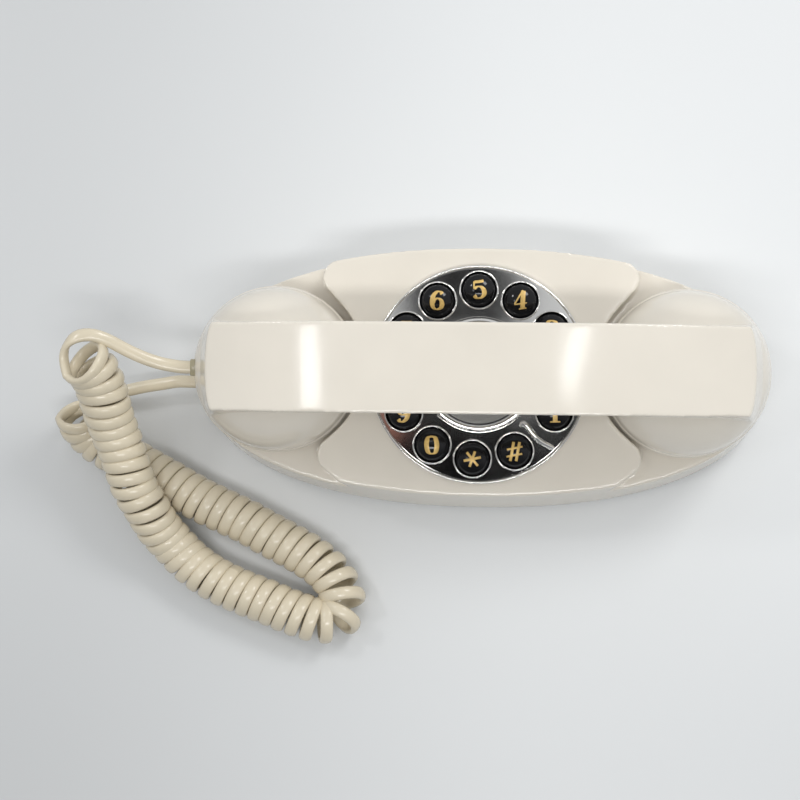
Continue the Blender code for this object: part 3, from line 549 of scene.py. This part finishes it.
def base_solid(name, inset, bottom, drop):
    """The base's drafted wall between a flat bottom and the tilted deck plane."""
    count = 240
    low, high = [], []
    for i in range(count):
        turn = 2 * math.pi * (i + 0.5) / count
        low.append((*plan_point(turn, bottom, inset), bottom))
        top = DECK_HEIGHT
        for _ in range(6):
            y = plan_point(turn, top, inset)[1]
            top = DECK_HEIGHT - drop / math.cos(DECK_TILT) + y * math.tan(DECK_TILT)
        high.append((*plan_point(turn, top, inset), top))
    return stack(name, [low, high])


def panel_half_edge(grow, side):
    """The dial panel's side edge from the middle of its scoop to beyond the rim."""
    corner = PANEL_CORNERS[side]
    scoop = Vector((PANEL_SCOOP[0], PANEL_SCOOP[1] * side))
    scoop_radius = PANEL_SCOOP[2] + grow
    middle = Vector((corner[0], corner[1] * side))
    radius = corner[2] - grow
    apart = scoop - middle
    lean = math.acos(min(1.0, (scoop_radius + radius) / apart.length))
    touch = math.atan2(apart.y, apart.x) + lean
    leave = math.radians(50)
    points = arc(scoop, scoop_radius, math.pi, touch + math.pi, 28)
    points += arc(middle, radius, touch, leave, 20)[1:]
    last = Vector(points[-1]) + 12 * MM * Vector((-math.sin(leave), math.cos(leave)))
    points.append((last.x, last.y))
    return [(x, y * side) for x, y in points]


def ledge_tool(grow, depth, mirror):
    """The solid that lowers the base beside the panel on one side."""
    far = 140 * MM
    back, front = panel_half_edge(grow, 1), panel_half_edge(grow, -1)
    outline = list(reversed(back)) + front[1:]
    outline += [(front[-1][0], -far), (far, -far), (far, far), (back[-1][0], far)]
    outline = [(x * mirror, y) for x, y in outline]
    return slab("ledge", outline if mirror > 0 else outline[::-1], -depth, 40 * MM)


def make_housing():
    """The hollow base shell with its wells, dial opening, jacks and knob slots."""
    housing = base_solid("housing_shell", 0.0, BASE_BOTTOM, 0.0)
    boolean(housing, [ledge_tool(0.0, LEDGE_DROP, m) for m in (1, -1)])
    cavity = base_solid("cavity", WALL, -2 * MM, WALL)
    bosses = [ledge_tool(WALL, LEDGE_DROP + WALL, m) for m in (1, -1)]
    for x in (-CUP_X, CUP_X):
        bosses.append(lathe("boss", [
            (0.0, -LEDGE_DROP + 5 * MM), (WELL_TOP_RADIUS + 1.6 * MM, -LEDGE_DROP + 5 * MM),
            (WELL_TOP_RADIUS + 1.6 * MM, -LEDGE_DROP),
            (WELL_FLOOR_RADIUS + 2 * MM, WELL_FLOOR - WALL), (0.0, WELL_FLOOR - WALL)],
            (x, 0.0, 0.0), steps=64))
    boolean(cavity, bosses)
    tools = [cavity]
    for x in (-CUP_X, CUP_X):
        tools.append(lathe("well", [
            (0.0, 1 * MM), (WELL_TOP_RADIUS + 1.5 * MM, 1 * MM), (WELL_TOP_RADIUS, -LEDGE_DROP),
            (WELL_FLOOR_RADIUS, WELL_FLOOR), (0.0, WELL_FLOOR)], (x, 0.0, 0.0)))
        tools.append(lathe("plunger_hole", [
            (0.0, -10 * MM), (PLUNGER_HOLE_RADIUS, -10 * MM), (PLUNGER_HOLE_RADIUS, -24 * MM),
            (0.0, -24 * MM)],
            (x, PLUNGER_Y, 0.0), steps=40))
    tools.append(lathe("dial_opening", [
        (0.0, 6 * MM), (DIAL_OPENING, 6 * MM), (DIAL_OPENING, -6 * MM), (0.0, -6 * MM)],
        (0.0, DIAL_Y, 0.0), steps=160))
    y, z = BASE_JACK
    wide, tall = BASE_JACK_HALF
    tools.append(block("cord_opening", (BASE_JACK_CUT[0], y - wide, z - tall),
                       (BASE_JACK_CUT[1], y + wide, z + tall)))
    low, high = LINE_JACK_HEIGHTS
    tools.append(block("line_opening",
                       (LINE_JACK_X - LINE_JACK_HALF_WIDTH, LINE_JACK_CUT[0], low),
                       (LINE_JACK_X + LINE_JACK_HALF_WIDTH, LINE_JACK_CUT[1], high)))
    wide, tall = KNOB_SLOT_HALF
    for x in KNOB_XS:
        tools.append(block("knob_slot", (x - wide, KNOB_SLOT_CUT[0], KNOB_Z - tall),
                           (x + wide + KNOB_TRAVEL, KNOB_SLOT_CUT[1], KNOB_Z + tall)))
    boolean(housing, tools)
    soften(housing, HOUSING_VOXEL, 4, KEPT_FACES)
    finish_piece(housing, IVORY, "root", ("housing",), smooth=180.0)


# ---------------------------------------------------------------- dial

def key_place(number):
    """The middle of a key on the deck."""
    turn = math.radians(KEY_FIRST_ANGLE + KEY_STEP_ANGLE * number)
    return KEY_RING_RADIUS * math.cos(turn), DIAL_Y + KEY_RING_RADIUS * math.sin(turn)


def make_dial_plate():
    """Chrome disc with a rolled rim, a fine groove inside it and twelve key holes."""
    groove = DIAL_RADIUS - 1.5 * MM
    profile = [(0.0, DIAL_TOP), (groove, DIAL_TOP), (groove + 0.1 * MM, DIAL_TOP - 0.5 * MM),
               (groove + 0.35 * MM, DIAL_TOP - 0.5 * MM)]
    rim = (DIAL_RADIUS - 0.5 * MM, DIAL_TOP - 0.4 * MM)
    profile += [(rim[0] + 0.5 * MM * math.cos(t), rim[1] + 0.7 * MM * math.sin(t))
                for t in along(math.pi * 0.85, 0.0, 12)]
    profile += [(DIAL_RADIUS, 0.3 * MM), (0.0, 0.3 * MM)]
    plate = lathe("dial_disc", profile, (0.0, DIAL_Y, 0.0), steps=192)
    holes = [lathe("hole", [(0.0, 8 * MM), (KEY_HOLE_RADIUS, 8 * MM),
                            (KEY_HOLE_RADIUS, -3 * MM), (0.0, -3 * MM)],
                   (*key_place(n), 0.0), steps=72) for n in range(len(KEY_NAMES))]
    boolean(plate, holes)
    finish_piece(plate, CHROME, "root", ("dial_plate",), smooth=28.0)


def make_bezels():
    """The raised bright ring round each key."""
    inner, outer = BEZEL_RADII
    middle, half = (inner + outer) / 2, (outer - inner) / 2
    profile = [(middle + half * math.cos(t), DIAL_TOP + 0.2 * MM + 0.75 * MM * math.sin(t))
               for t in along(math.pi, 0.0, 10)]
    profile += [(outer, DIAL_TOP - 0.2 * MM), (inner, DIAL_TOP - 0.2 * MM)]
    for number, name in enumerate(KEY_NAMES):
        ring = lathe("bezel_" + name, profile, (*key_place(number), 0.0), steps=72, ring=True)
        finish_piece(face_outwards(ring), CHROME, "root", smooth=50.0)


def key_height(radius):
    """Height of a key's domed face at a distance from its middle."""
    reach = min(1.0, radius / KEY_RADIUS)
    return KEY_SHOULDER + (KEY_CROWN - KEY_SHOULDER) * math.sqrt(1.0 - reach ** 2)


def make_keys():
    """The twelve domed keys, each with its flange and stem."""
    profile = []
    for i in range(17):
        turn = math.pi / 2 * i / 16
        radius = KEY_RADIUS * math.sin(turn)
        profile.append((radius, key_height(radius)))
    profile += [(KEY_RADIUS, -0.5 * MM), (KEY_FLANGE_RADIUS, -0.5 * MM),
                (KEY_FLANGE_RADIUS, -1.6 * MM), (KEY_STEM_RADIUS, -1.6 * MM),
                (KEY_STEM_RADIUS, -4.0 * MM), (0.0, -4.0 * MM)]
    for number, name in enumerate(KEY_NAMES):
        key = lathe("key_dome_" + name, profile, (*key_place(number), 0.0), steps=64)
        finish_piece(face_outwards(key), BLACK_GLOSS, "key_" + name, ("button_" + name,))


# Figures as pen strokes in millimetres: (thin, thick) pen and the points it follows.
FAT = (0.55, 1.75)
HAIR = (0.50, 0.60)
BEAM = (1.05, 1.25)
FIGURES = {
    "1": (2, [(FAT, [(0.1, 3.4), (0.1, 0.0), (0.1, -3.2)]),
              (HAIR, [(-1.7, 2.0), (-0.9, 2.6), (0.0, 3.35)]),
              (HAIR, [(-1.8, -3.3), (0.1, -3.3), (2.0, -3.3)])]),
    "2": (-3, [(FAT, [(-1.7, 1.9), (-1.2, 3.0), (0.1, 3.4), (1.5, 2.8), (1.8, 1.5),
                      (0.9, -0.1), (-0.7, -1.6), (-1.9, -3.0)]),
               (BEAM, [(-1.9, -2.9), (-0.4, -2.7), (1.0, -3.1), (2.2, -2.5)])]),
    "3": (0, [(FAT, [(-1.6, 2.4), (-0.9, 3.2), (0.3, 3.4), (1.5, 2.7), (1.4, 1.2),
                     (0.4, 0.3), (-0.5, 0.1)]),
              (FAT, [(-0.5, 0.1), (1.0, -0.1), (2.0, -1.4), (1.6, -2.8), (0.2, -3.4),
                     (-1.2, -3.1), (-1.9, -2.3)])]),
    "4": (9, [(FAT, [(1.6, 3.3), (0.9, 0.0), (0.3, -3.3)]),
              (HAIR, [(1.5, 3.5), (-0.6, 1.0), (-2.4, -1.2)]),
              (HAIR, [(-2.5, -1.4), (0.0, -1.4), (2.2, -1.4)]),
              (HAIR, [(-1.1, -3.3), (0.3, -3.3), (1.7, -3.3)])]),
    "5": (5, [(BEAM, [(-1.4, 2.9), (0.3, 2.9), (2.0, 3.1)]),
              (HAIR, [(-1.6, 3.1), (-1.7, 1.6), (-1.8, 0.3)]),
              (FAT, [(-1.7, 0.3), (-0.5, 1.0), (0.9, 0.8), (1.9, -0.5), (1.8, -2.1),
                     (0.6, -3.2), (-0.9, -3.2), (-1.9, -2.2)])]),
    "6": (-4, [(FAT, [(1.6, 2.5), (0.9, 3.3), (-0.3, 3.2), (-1.5, 1.8), (-1.9, -0.6),
                      (-1.4, -2.6), (0.0, -3.4), (1.5, -2.7), (1.9, -1.2), (1.3, 0.2),
                      (0.1, 0.7), (-1.1, 0.1), (-1.6, -1.0)])]),
    "7": (0, [(BEAM, [(-2.0, 3.0), (0.0, 2.9), (2.0, 3.0)]),
              (FAT, [(1.9, 2.8), (0.5, 0.6), (-0.3, -1.5), (-0.4, -3.3)])]),
    "8": (0, [(FAT, [(0.0, 3.4), (1.5, 2.9), (1.5, 1.0), (0.0, 0.2), (-1.9, -0.7),
                     (-1.9, -2.7), (0.0, -3.4), (1.9, -2.7), (1.9, -0.7), (0.0, 0.2),
                     (-1.5, 1.0), (-1.5, 2.9), (0.0, 3.4)])]),
    "9": (-4, [(FAT, [(-1.6, -2.5), (-0.9, -3.3), (0.3, -3.2), (1.5, -1.8), (1.9, 0.6),
                      (1.4, 2.6), (0.0, 3.4), (-1.5, 2.7), (-1.9, 1.2), (-1.3, -0.2),
                      (-0.1, -0.7), (1.1, -0.1), (1.6, 1.0)])]),
    "0": (3, [(FAT, [(0.0, 3.3), (1.4, 2.6), (1.95, 0.0), (1.4, -2.6), (0.0, -3.3),
                     (-1.4, -2.6), (-1.95, 0.0), (-1.4, 2.6), (0.0, 3.3)])]),
    "star": (0, [((0.95, 0.95), [(-3.2, -0.7), (0.0, 0.0), (3.2, 0.7)]),
                 ((0.95, 0.95), [(-2.1, 2.5), (0.0, 0.0), (2.1, -2.5)]),
                 ((0.95, 0.95), [(-1.0, -2.9), (0.0, 0.0), (1.0, 2.9)])]),
    "hash": (0, [((0.6, 1.05), [(-1.6, -3.6), (-1.0, 0.0), (-0.4, 3.6)]),
                 ((0.6, 1.05), [(0.6, -3.6), (1.2, 0.0), (1.8, 3.6)]),
                 ((0.7, 0.8), [(-2.9, 0.7), (0.0, 1.3), (2.9, 1.9)]),
                 ((0.7, 0.8), [(-3.0, -2.0), (0.0, -1.4), (2.8, -0.8)])]),
}


def stroke_rings(pen, points, turn, centre):
    """Cross-sections of one pen stroke laid on a key's dome."""
    thin, thick = pen
    line = smooth_line(np.array(points), 10)
    direction = unit(np.gradient(line, axis=0))
    width = thin + (thick - thin) * np.abs(direction[:, 1]) ** 1.6
    normal = np.stack([-direction[:, 1], direction[:, 0]], axis=1)
    rings = []
    c, s = math.cos(turn), math.sin(turn)
    for point, sideways, wide in zip(line, normal, width):
        ring = []
        for share, lift in ((0.5, -0.35), (0.5, 0.06), (0.25, 0.12), (-0.25, 0.12),
                            (-0.5, 0.06), (-0.5, -0.35)):
            x, y = point + sideways * wide * share
            x, y = (x * c - y * s) * MM, (x * s + y * c) * MM
            z = key_height(math.hypot(x, y)) + lift * MM
            ring.append((centre[0] + x, centre[1] + y, z))
        rings.append(ring)
    return rings


def make_figures():
    """Gold figures inlaid in the keys' domes."""
    for number, name in enumerate(KEY_NAMES):
        tilt, strokes = FIGURES[name]
        pieces = []
        for pen, points in strokes:
            rings = stroke_rings(pen, points, math.radians(tilt), key_place(number))
            pieces.append(face_outwards(stack("stroke", rings, DECK)))
        shape = bmesh.new()
        for piece in pieces:
            shape.from_mesh(piece.data)
            bpy.data.objects.remove(piece)
        mesh = bpy.data.meshes.new("figure_" + name)
        shape.to_mesh(mesh)
        shape.free()
        figure = bpy.data.objects.new("figure_" + name, mesh)
        bpy.context.scene.collection.objects.link(figure)
        finish_piece(figure, GOLD, "key_" + name)


def make_hub():
    """The chrome ring in the middle with its number card and clear window."""
    base = DIAL_TOP + 0.3 * MM
    hub = lathe("hub_trim", [
        (CARD_RADIUS + 0.5 * MM, base + 1.7 * MM), (CARD_RADIUS + 0.9 * MM, base + 2.2 * MM),
        (CARD_RADIUS + 1.5 * MM, base + 2.4 * MM), (CARD_RADIUS + 2.3 * MM, base + 2.2 * MM),
        (CARD_RADIUS + 2.6 * MM, base + 1.7 * MM), (CARD_RADIUS + 2.7 * MM, base + 0.3 * MM),
        (HUB_RADIUS - 0.5 * MM, base + 0.3 * MM), (HUB_RADIUS - 0.35 * MM, base + 0.8 * MM),
        (HUB_RADIUS - 0.05 * MM, base + 0.8 * MM), (HUB_RADIUS, base),
        (CARD_RADIUS + 0.5 * MM, base)], (0.0, DIAL_Y, 0.0), steps=160, ring=True)
    finish_piece(face_outwards(hub), CHROME, "root", ("hub_ring",), smooth=40.0)
    card = lathe("card_disc", [(0.0, base + 0.4 * MM), (CARD_RADIUS, base + 0.4 * MM),
                               (CARD_RADIUS, base), (0.0, base)], (0.0, DIAL_Y, 0.0), steps=128)
    finish_piece(face_outwards(card), CARD, "root", ("number_card",))
    window = lathe("window_disc", [
        (0.0, base + 1.8 * MM), (8 * MM, base + 1.7 * MM), (14 * MM, base + 1.5 * MM),
        (CARD_RADIUS - 0.3 * MM, base + 1.2 * MM), (CARD_RADIUS, base + 0.9 * MM),
        (CARD_RADIUS, base + 0.7 * MM), (0.0, base + 0.7 * MM)], (0.0, DIAL_Y, 0.0), steps=128)
    finish_piece(face_outwards(window), WINDOW, "root", ("card_window",))


def make_finger_stop():
    """The curved wire stop, hooked over the keys from the rim."""
    route = np.array(((15.9, -20.8, 6.7), (17.0, -19.6, 7.3), (18.6, -20.9, 7.4),
                      (20.8, -23.9, 7.1), (23.6, -26.4, 6.3), (26.6, -28.0, 4.9),
                      (28.6, -29.1, 3.3))) * MM
    line = smooth_line(route, 8)
    _, side, up = carried_frames(line, (0.0, 0.0, 1.0))
    rings = []
    for i, (point, a, b) in enumerate(zip(line, side, up)):
        radius = 0.95 * MM * min(1.0, 0.35 + 0.25 * min(i, len(line) - 1 - i))
        rings.append([point + radius * (math.cos(t) * a + math.sin(t) * b)
                      for t in along(0.0, 2 * math.pi, 16)[:-1]])
    stop = face_outwards(stack("stop_wire", rings, DECK))
    finish_piece(stop, CHROME, "root", ("finger_stop",), smooth=60.0)


# ---------------------------------------------------------------- handset

def handle_top(x):
    """Height of the handle's top face."""
    return HANDLE_TOP - HANDLE_DROP * (abs(x) / HANDLE_END) ** HANDLE_DROP_POWER


def handle_under(x):
    """Height of the handle's lower face."""
    return HANDLE_UNDER - HANDLE_UNDER_DROP * (abs(x) / HANDLE_UNDER_END) ** HANDLE_UNDER_POWER


def handle_plan(height):
    """Plan of the handle at a height: straight sides and convex ends that flare downwards."""
    share = (height - CUP_RIM) / (31 * MM - CUP_RIM)
    half = END_FLARE + (HANDLE_HALF_WIDTH - END_FLARE) * share
    end = []
    for step in along(-1.0, 1.0, 28):
        y = half * step
        low = CUP_X + math.sqrt(CUP_RADIUS ** 2 - (END_FLARE * step) ** 2)
        high = HANDLE_END - (1.3 * step ** 2 + 0.9 * step ** 8) * MM
        end.append((low + (high - low) * share, y))
    waist = [(CUP_X, HANDLE_HALF_WIDTH), (-CUP_X, HANDLE_HALF_WIDTH)]
    return (end + waist + [(-x, -y) for x, y in end]
            + [(-x, -y) for x, y in waist])


def handle_side():
    """The handle seen from the side, with the cut above each cup."""
    outline = [(x, handle_top(x)) for x in along(HANDLE_CUT_REACH, -HANDLE_CUT_REACH, 90)]
    foot = [(HANDLE_CUT_REACH, CUP_RIM), (CUP_CUT_X, CUP_RIM), (CUP_CUT_X, CUP_CUT_Z)]
    outline += [(-x, z) for x, z in foot]
    outline += [(x, handle_under(x)) for x in along(-HANDLE_UNDER_END, HANDLE_UNDER_END, 48)]
    return outline + foot[::-1]


def cup_dome(x, inset):
    """One cup's dome with its rim lip, or its hollow when there is an inset."""
    radius = CUP_RADIUS - CUP_LIP - inset
    height = CUP_CROWN - inset - CUP_RIM
    profile = [(radius * math.sin(t), CUP_RIM + height * math.cos(t))
               for t in along(0.0, math.pi / 2, 28)[:-1]]
    if inset:
        profile += [(radius, CUP_RIM), (radius, CUP_RIM - 3 * MM), (0.0, CUP_RIM - 3 * MM)]
    else:
        profile += [(radius, CUP_RIM + 1.7 * MM), (CUP_RADIUS, CUP_RIM + 1.1 * MM),
                    (CUP_RADIUS, CUP_RIM), (0.0, CUP_RIM)]
    return lathe("cup", profile, (x, 0.0, 0.0), steps=128)


def channel_side():
    """The hollow of the handle, open underneath between the cups."""
    outline = [(x, handle_top(x) - WALL) for x in along(CHANNEL_END, -CHANNEL_END, 60)]
    foot = [(CHANNEL_END, 14 * MM), (64 * MM, 14 * MM), (64 * MM, 20 * MM)]
    foot += [(x, handle_under(x) + WALL) for x in (48 * MM, CHANNEL_MOUTH)]
    foot.append((CHANNEL_MOUTH, 8 * MM))
    return outline + [(-x, z) for x, z in foot] + foot[::-1]


def make_handset():
    """The hollow handle with its two cups."""
    shell = stack("handset_body", [[(x, y, z) for x, y in handle_plan(z)]
                                   for z in along(CUP_RIM, 48 * MM, 10)], DECK)
    boolean(shell, [side_slab("side", handle_side(), 40 * MM)], "INTERSECT")
    boolean(shell, [cup_dome(x, 0.0) for x in (-CUP_X, CUP_X)], "UNION")
    tools = [side_slab("channel", channel_side(), HANDLE_HALF_WIDTH - WALL)]
    tools += [cup_dome(x, WALL) for x in (-CUP_X, CUP_X)]
    wide, tall = JACK_HALF
    tools.append(block("slot", (JACK_CUT[0], -wide, JACK_Z - tall),
                       (JACK_CUT[1], wide, JACK_Z + tall), DECK))
    boolean(shell, tools)
    soften(shell, HANDSET_VOXEL, 6, KEPT_FACES)
    finish_piece(shell, IVORY, "handset", ("handset_shell",), smooth=180.0)


def make_caps():
    """The two screw-on caps with their sound holes."""
    bottom = WELL_FLOOR + 0.3 * MM
    profile = [(0.0, bottom + 2 * MM), (21.5 * MM, bottom + 2 * MM), (23.4 * MM, -8 * MM),
               (27.2 * MM, -4 * MM), (27.2 * MM, 0.0), (29.0 * MM, 0.0), (29.0 * MM, -2.3 * MM),
               (30.8 * MM, -2.3 * MM), (31.2 * MM, -2.7 * MM), (31.2 * MM, -3.4 * MM),
               (30.6 * MM, -4.1 * MM), (25.9 * MM, -7.8 * MM), (25.3 * MM, -8.8 * MM),
               (24.6 * MM, -14 * MM), (24.0 * MM, -15.1 * MM), (22.6 * MM, bottom),
               (0.0, bottom)]
    rings = {"ear": (CUP_X, (0, 1), (8, 6)), "mouth": (-CUP_X, (0, 1), (6, 5))}
    for name, (x, *circles) in rings.items():
        cap = lathe("cap_" + name, profile, (x, 0.0, 0.0), steps=128)
        holes = []
        for radius, count in circles:
            for i in range(count):
                turn = 2 * math.pi * (i + 0.25) / count
                place = (x + radius * MM * math.cos(turn), radius * MM * math.sin(turn), 0.0)
                holes.append(lathe("hole", [
                    (0.0, -10 * MM), (CAP_HOLE_RADIUS, -10 * MM), (CAP_HOLE_RADIUS, -20 * MM),
                    (0.0, -20 * MM)], place, steps=24))
        boolean(cap, holes)
        finish_piece(cap, IVORY, "handset", (name + "_cap",), smooth=30.0)


def rounded_block(name, low, high, matrix=None):
    """A moulded plug body with rounded edges."""
    obj = face_outwards(block(name, low, high, matrix))
    bevel = obj.modifiers.new("bevel", "BEVEL")
    bevel.width = 0.5 * MM
    bevel.segments = 3
    bpy.context.view_layer.update()
    return apply_modifiers(obj)


def make_plugs():
    """The two modular plugs, which stand in the handset's jack and the base's."""
    wide = PLUG_HALF_WIDTH
    upper = rounded_block("plug_handset", (-109.9 * MM, -wide, JACK_Z - 2.1 * MM),
                          (-97 * MM, wide, JACK_Z + 2.1 * MM), DECK)
    y, z = BASE_JACK
    lower = rounded_block("plug_base", (-112.4 * MM, y - wide, z - 2.2 * MM),
                          (-99 * MM, y + wide, z + 2.2 * MM))
    finish_piece(upper, PLUG, "handset", ("cord_plug_handset",))
    finish_piece(lower, PLUG, "root", ("cord_plug_base",))
    return upper, lower


# ---------------------------------------------------------------- stage, light and camera

def area_light(name, place, target, size, power, colour=(1.0, 1.0, 1.0)):
    """A rectangular lamp that faces its target."""
    data = bpy.data.lights.new(name, "AREA")
    data.shape = "RECTANGLE"
    data.size, data.size_y = size
    data.energy = power
    data.color = colour
    lamp = bpy.data.objects.new(name, data)
    lamp.location = place
    lamp.rotation_euler = (Vector(target) - Vector(place)).to_track_quat("-Z", "Y").to_euler()
    bpy.context.scene.collection.objects.link(lamp)


def fade(nodes, links, value, start, end, low=0.0, high=1.0):
    """A smooth step of a value between two bounds."""
    step = nodes.new("ShaderNodeMapRange")
    step.interpolation_type = "SMOOTHSTEP"
    for name, number in (("From Min", start), ("From Max", end), ("To Min", low),
                         ("To Max", high)):
        step.inputs[name].default_value = number
    links.new(value, step.inputs["Value"])
    return step.outputs["Result"]


def times(nodes, links, first, second):
    """The product of a socket and a socket or number."""
    product = nodes.new("ShaderNodeMath")
    product.operation = "MULTIPLY"
    for socket, value in zip(product.inputs, (first, second)):
        if isinstance(value, float):
            socket.default_value = value
        else:
            links.new(value, socket)
    return product.outputs["Value"]


def make_stage():
    """The paper floor, with painted shade that darkens it towards its left and front."""
    half = FLOOR_HALF
    floor = new_object("floor", [(-half, -half, 0.0), (half, -half, 0.0), (half, half, 0.0),
                                 (-half, half, 0.0)], [(0, 1, 2, 3)])
    paper = material("floor_paper", (0.79, 0.806, 0.812), 0.6, variation=0.01, mottle_scale=3,
                     grain=0.05, grain_scale=300)
    nodes, links = paper.node_tree.nodes, paper.node_tree.links
    colour = nodes["Principled BSDF"].inputs["Base Color"]
    source = colour.links[0].from_socket
    split = nodes.new("ShaderNodeSeparateXYZ")
    links.new(nodes["Texture Coordinate"].outputs["Object"], split.inputs["Vector"])
    # painted shade: the floor's colour is scaled down towards the left and the front, standing in
    # for the light falling off there
    shade = times(nodes, links, fade(nodes, links, split.outputs["X"], -0.20, 0.05, 0.78, 1.0),
                  fade(nodes, links, split.outputs["Y"], -0.18, 0.02, 0.84, 1.0))
    falloff = nodes.new("ShaderNodeVectorMath")
    falloff.operation = "SCALE"
    links.new(source, falloff.inputs[0])
    links.new(shade, falloff.inputs["Scale"])
    links.new(falloff.outputs["Vector"], colour)
    floor.data.materials.append(paper)


def make_room():
    """A pale room: darker towards the front, and nearly black overhead where one stands."""
    world = bpy.data.worlds.new("room")
    bpy.context.scene.world = world
    world.use_nodes = True
    nodes, links = world.node_tree.nodes, world.node_tree.links
    way = nodes.new("ShaderNodeTexCoord")
    ripple = nodes.new("ShaderNodeTexNoise")
    ripple.inputs["Scale"].default_value = 14.0
    links.new(way.outputs["Generated"], ripple.inputs["Vector"])
    shift = nodes.new("ShaderNodeVectorMath")
    shift.operation = "MULTIPLY_ADD"
    shift.inputs[1].default_value = (0.05, 0.05, 0.0)
    links.new(ripple.outputs["Color"], shift.inputs[0])
    links.new(way.outputs["Generated"], shift.inputs[2])
    split = nodes.new("ShaderNodeSeparateXYZ")
    links.new(shift.outputs["Vector"], split.inputs["Vector"])
    x, y, z = (split.outputs[axis] for axis in "XYZ")
    overhead = fade(nodes, links, z, 0.78, 0.90, 1.0, 0.0)
    ahead = fade(nodes, links, y, -0.125, -0.095)
    pole = nodes.new("ShaderNodeVectorMath")
    pole.operation = "DISTANCE"
    pole.inputs[1].default_value = (-0.005, -0.045, 1.0)
    links.new(shift.outputs["Vector"], pole.inputs[0])
    open_sky = times(nodes, links, ahead,
                     fade(nodes, links, pole.outputs["Value"], 0.028, 0.052))
    bright = nodes.new("ShaderNodeMath")
    bright.operation = "MAXIMUM"
    links.new(overhead, bright.inputs[0])
    links.new(open_sky, bright.inputs[1])
    front = fade(nodes, links, y, -0.9, 0.1, 0.25, 1.0)
    side = fade(nodes, links, x, -0.9, 0.6, 0.80, 1.05)
    level = times(nodes, links, times(nodes, links, bright.outputs["Value"], front), side)
    links.new(times(nodes, links, level, 0.74), nodes["Background"].inputs["Strength"])
    nodes["Background"].inputs["Color"].default_value = (0.97, 0.985, 1.0, 1.0)


def make_lights():
    """Soft boxes behind and beside the telephone."""
    area_light("key_box", (0.50, 0.52, 0.90), LIGHT_AIM, (0.30, 0.30), 3.1)
    area_light("left_box", (-0.58, 0.30, 0.80), LIGHT_AIM, (0.12, 0.12), 0.9)
    area_light("front_box", (0.0, -0.42, 0.95), LIGHT_AIM, (0.60, 0.10), 3.2)
    area_light("handle_box_left", (-0.478, -0.121, 0.982), (-0.06, 0.0, 0.08), (0.12, 0.09), 0.36)
    area_light("handle_box_right", (0.174, -0.103, 1.07), (0.035, 0.0, 0.085), (0.11, 0.04), 0.20)
    area_light("warm_card", (-0.13, -0.21, 1.22), (-0.036, -0.02, 0.04), (0.045, 0.03), 0.0014,
               (1.0, 0.42, 0.30))
    make_room()


def make_camera():
    """High and slightly to the front, with a long lens."""
    yaw, pitch, roll = (math.radians(a) for a in (CAMERA_YAW, CAMERA_PITCH, CAMERA_ROLL))
    target = Vector(CAMERA_TARGET) * MM
    ahead = Vector((-math.sin(yaw), math.sin(pitch), -math.cos(pitch) * math.cos(yaw)))
    ahead.normalize()
    right = ahead.cross(Vector((0.0, 1.0, 0.0))).normalized()
    up = right.cross(ahead)
    turned_right = math.cos(roll) * right + math.sin(roll) * up
    turned_up = -math.sin(roll) * right + math.cos(roll) * up
    data = bpy.data.cameras.new("view")
    data.lens = CAMERA_LENS
    data.sensor_width = 36.0
    data.clip_start = 0.05
    camera = bpy.data.objects.new("view", data)
    axes = Matrix((turned_right, turned_up, -ahead)).transposed().to_4x4()
    camera.matrix_world = Matrix.Translation(target - CAMERA_DISTANCE * ahead) @ axes
    bpy.context.scene.collection.objects.link(camera)
    bpy.context.scene.camera = camera


def main():
    make_camera()
    make_stage()
    make_lights()
    bpy.context.scene.view_settings.view_transform = "Standard"
    dress_cad_nodes()
    make_cord(make_plugs())
    make_housing()
    make_dial_plate()
    make_bezels()
    make_keys()
    make_figures()
    make_hub()
    make_finger_stop()
    make_handset()
    make_caps()


main()
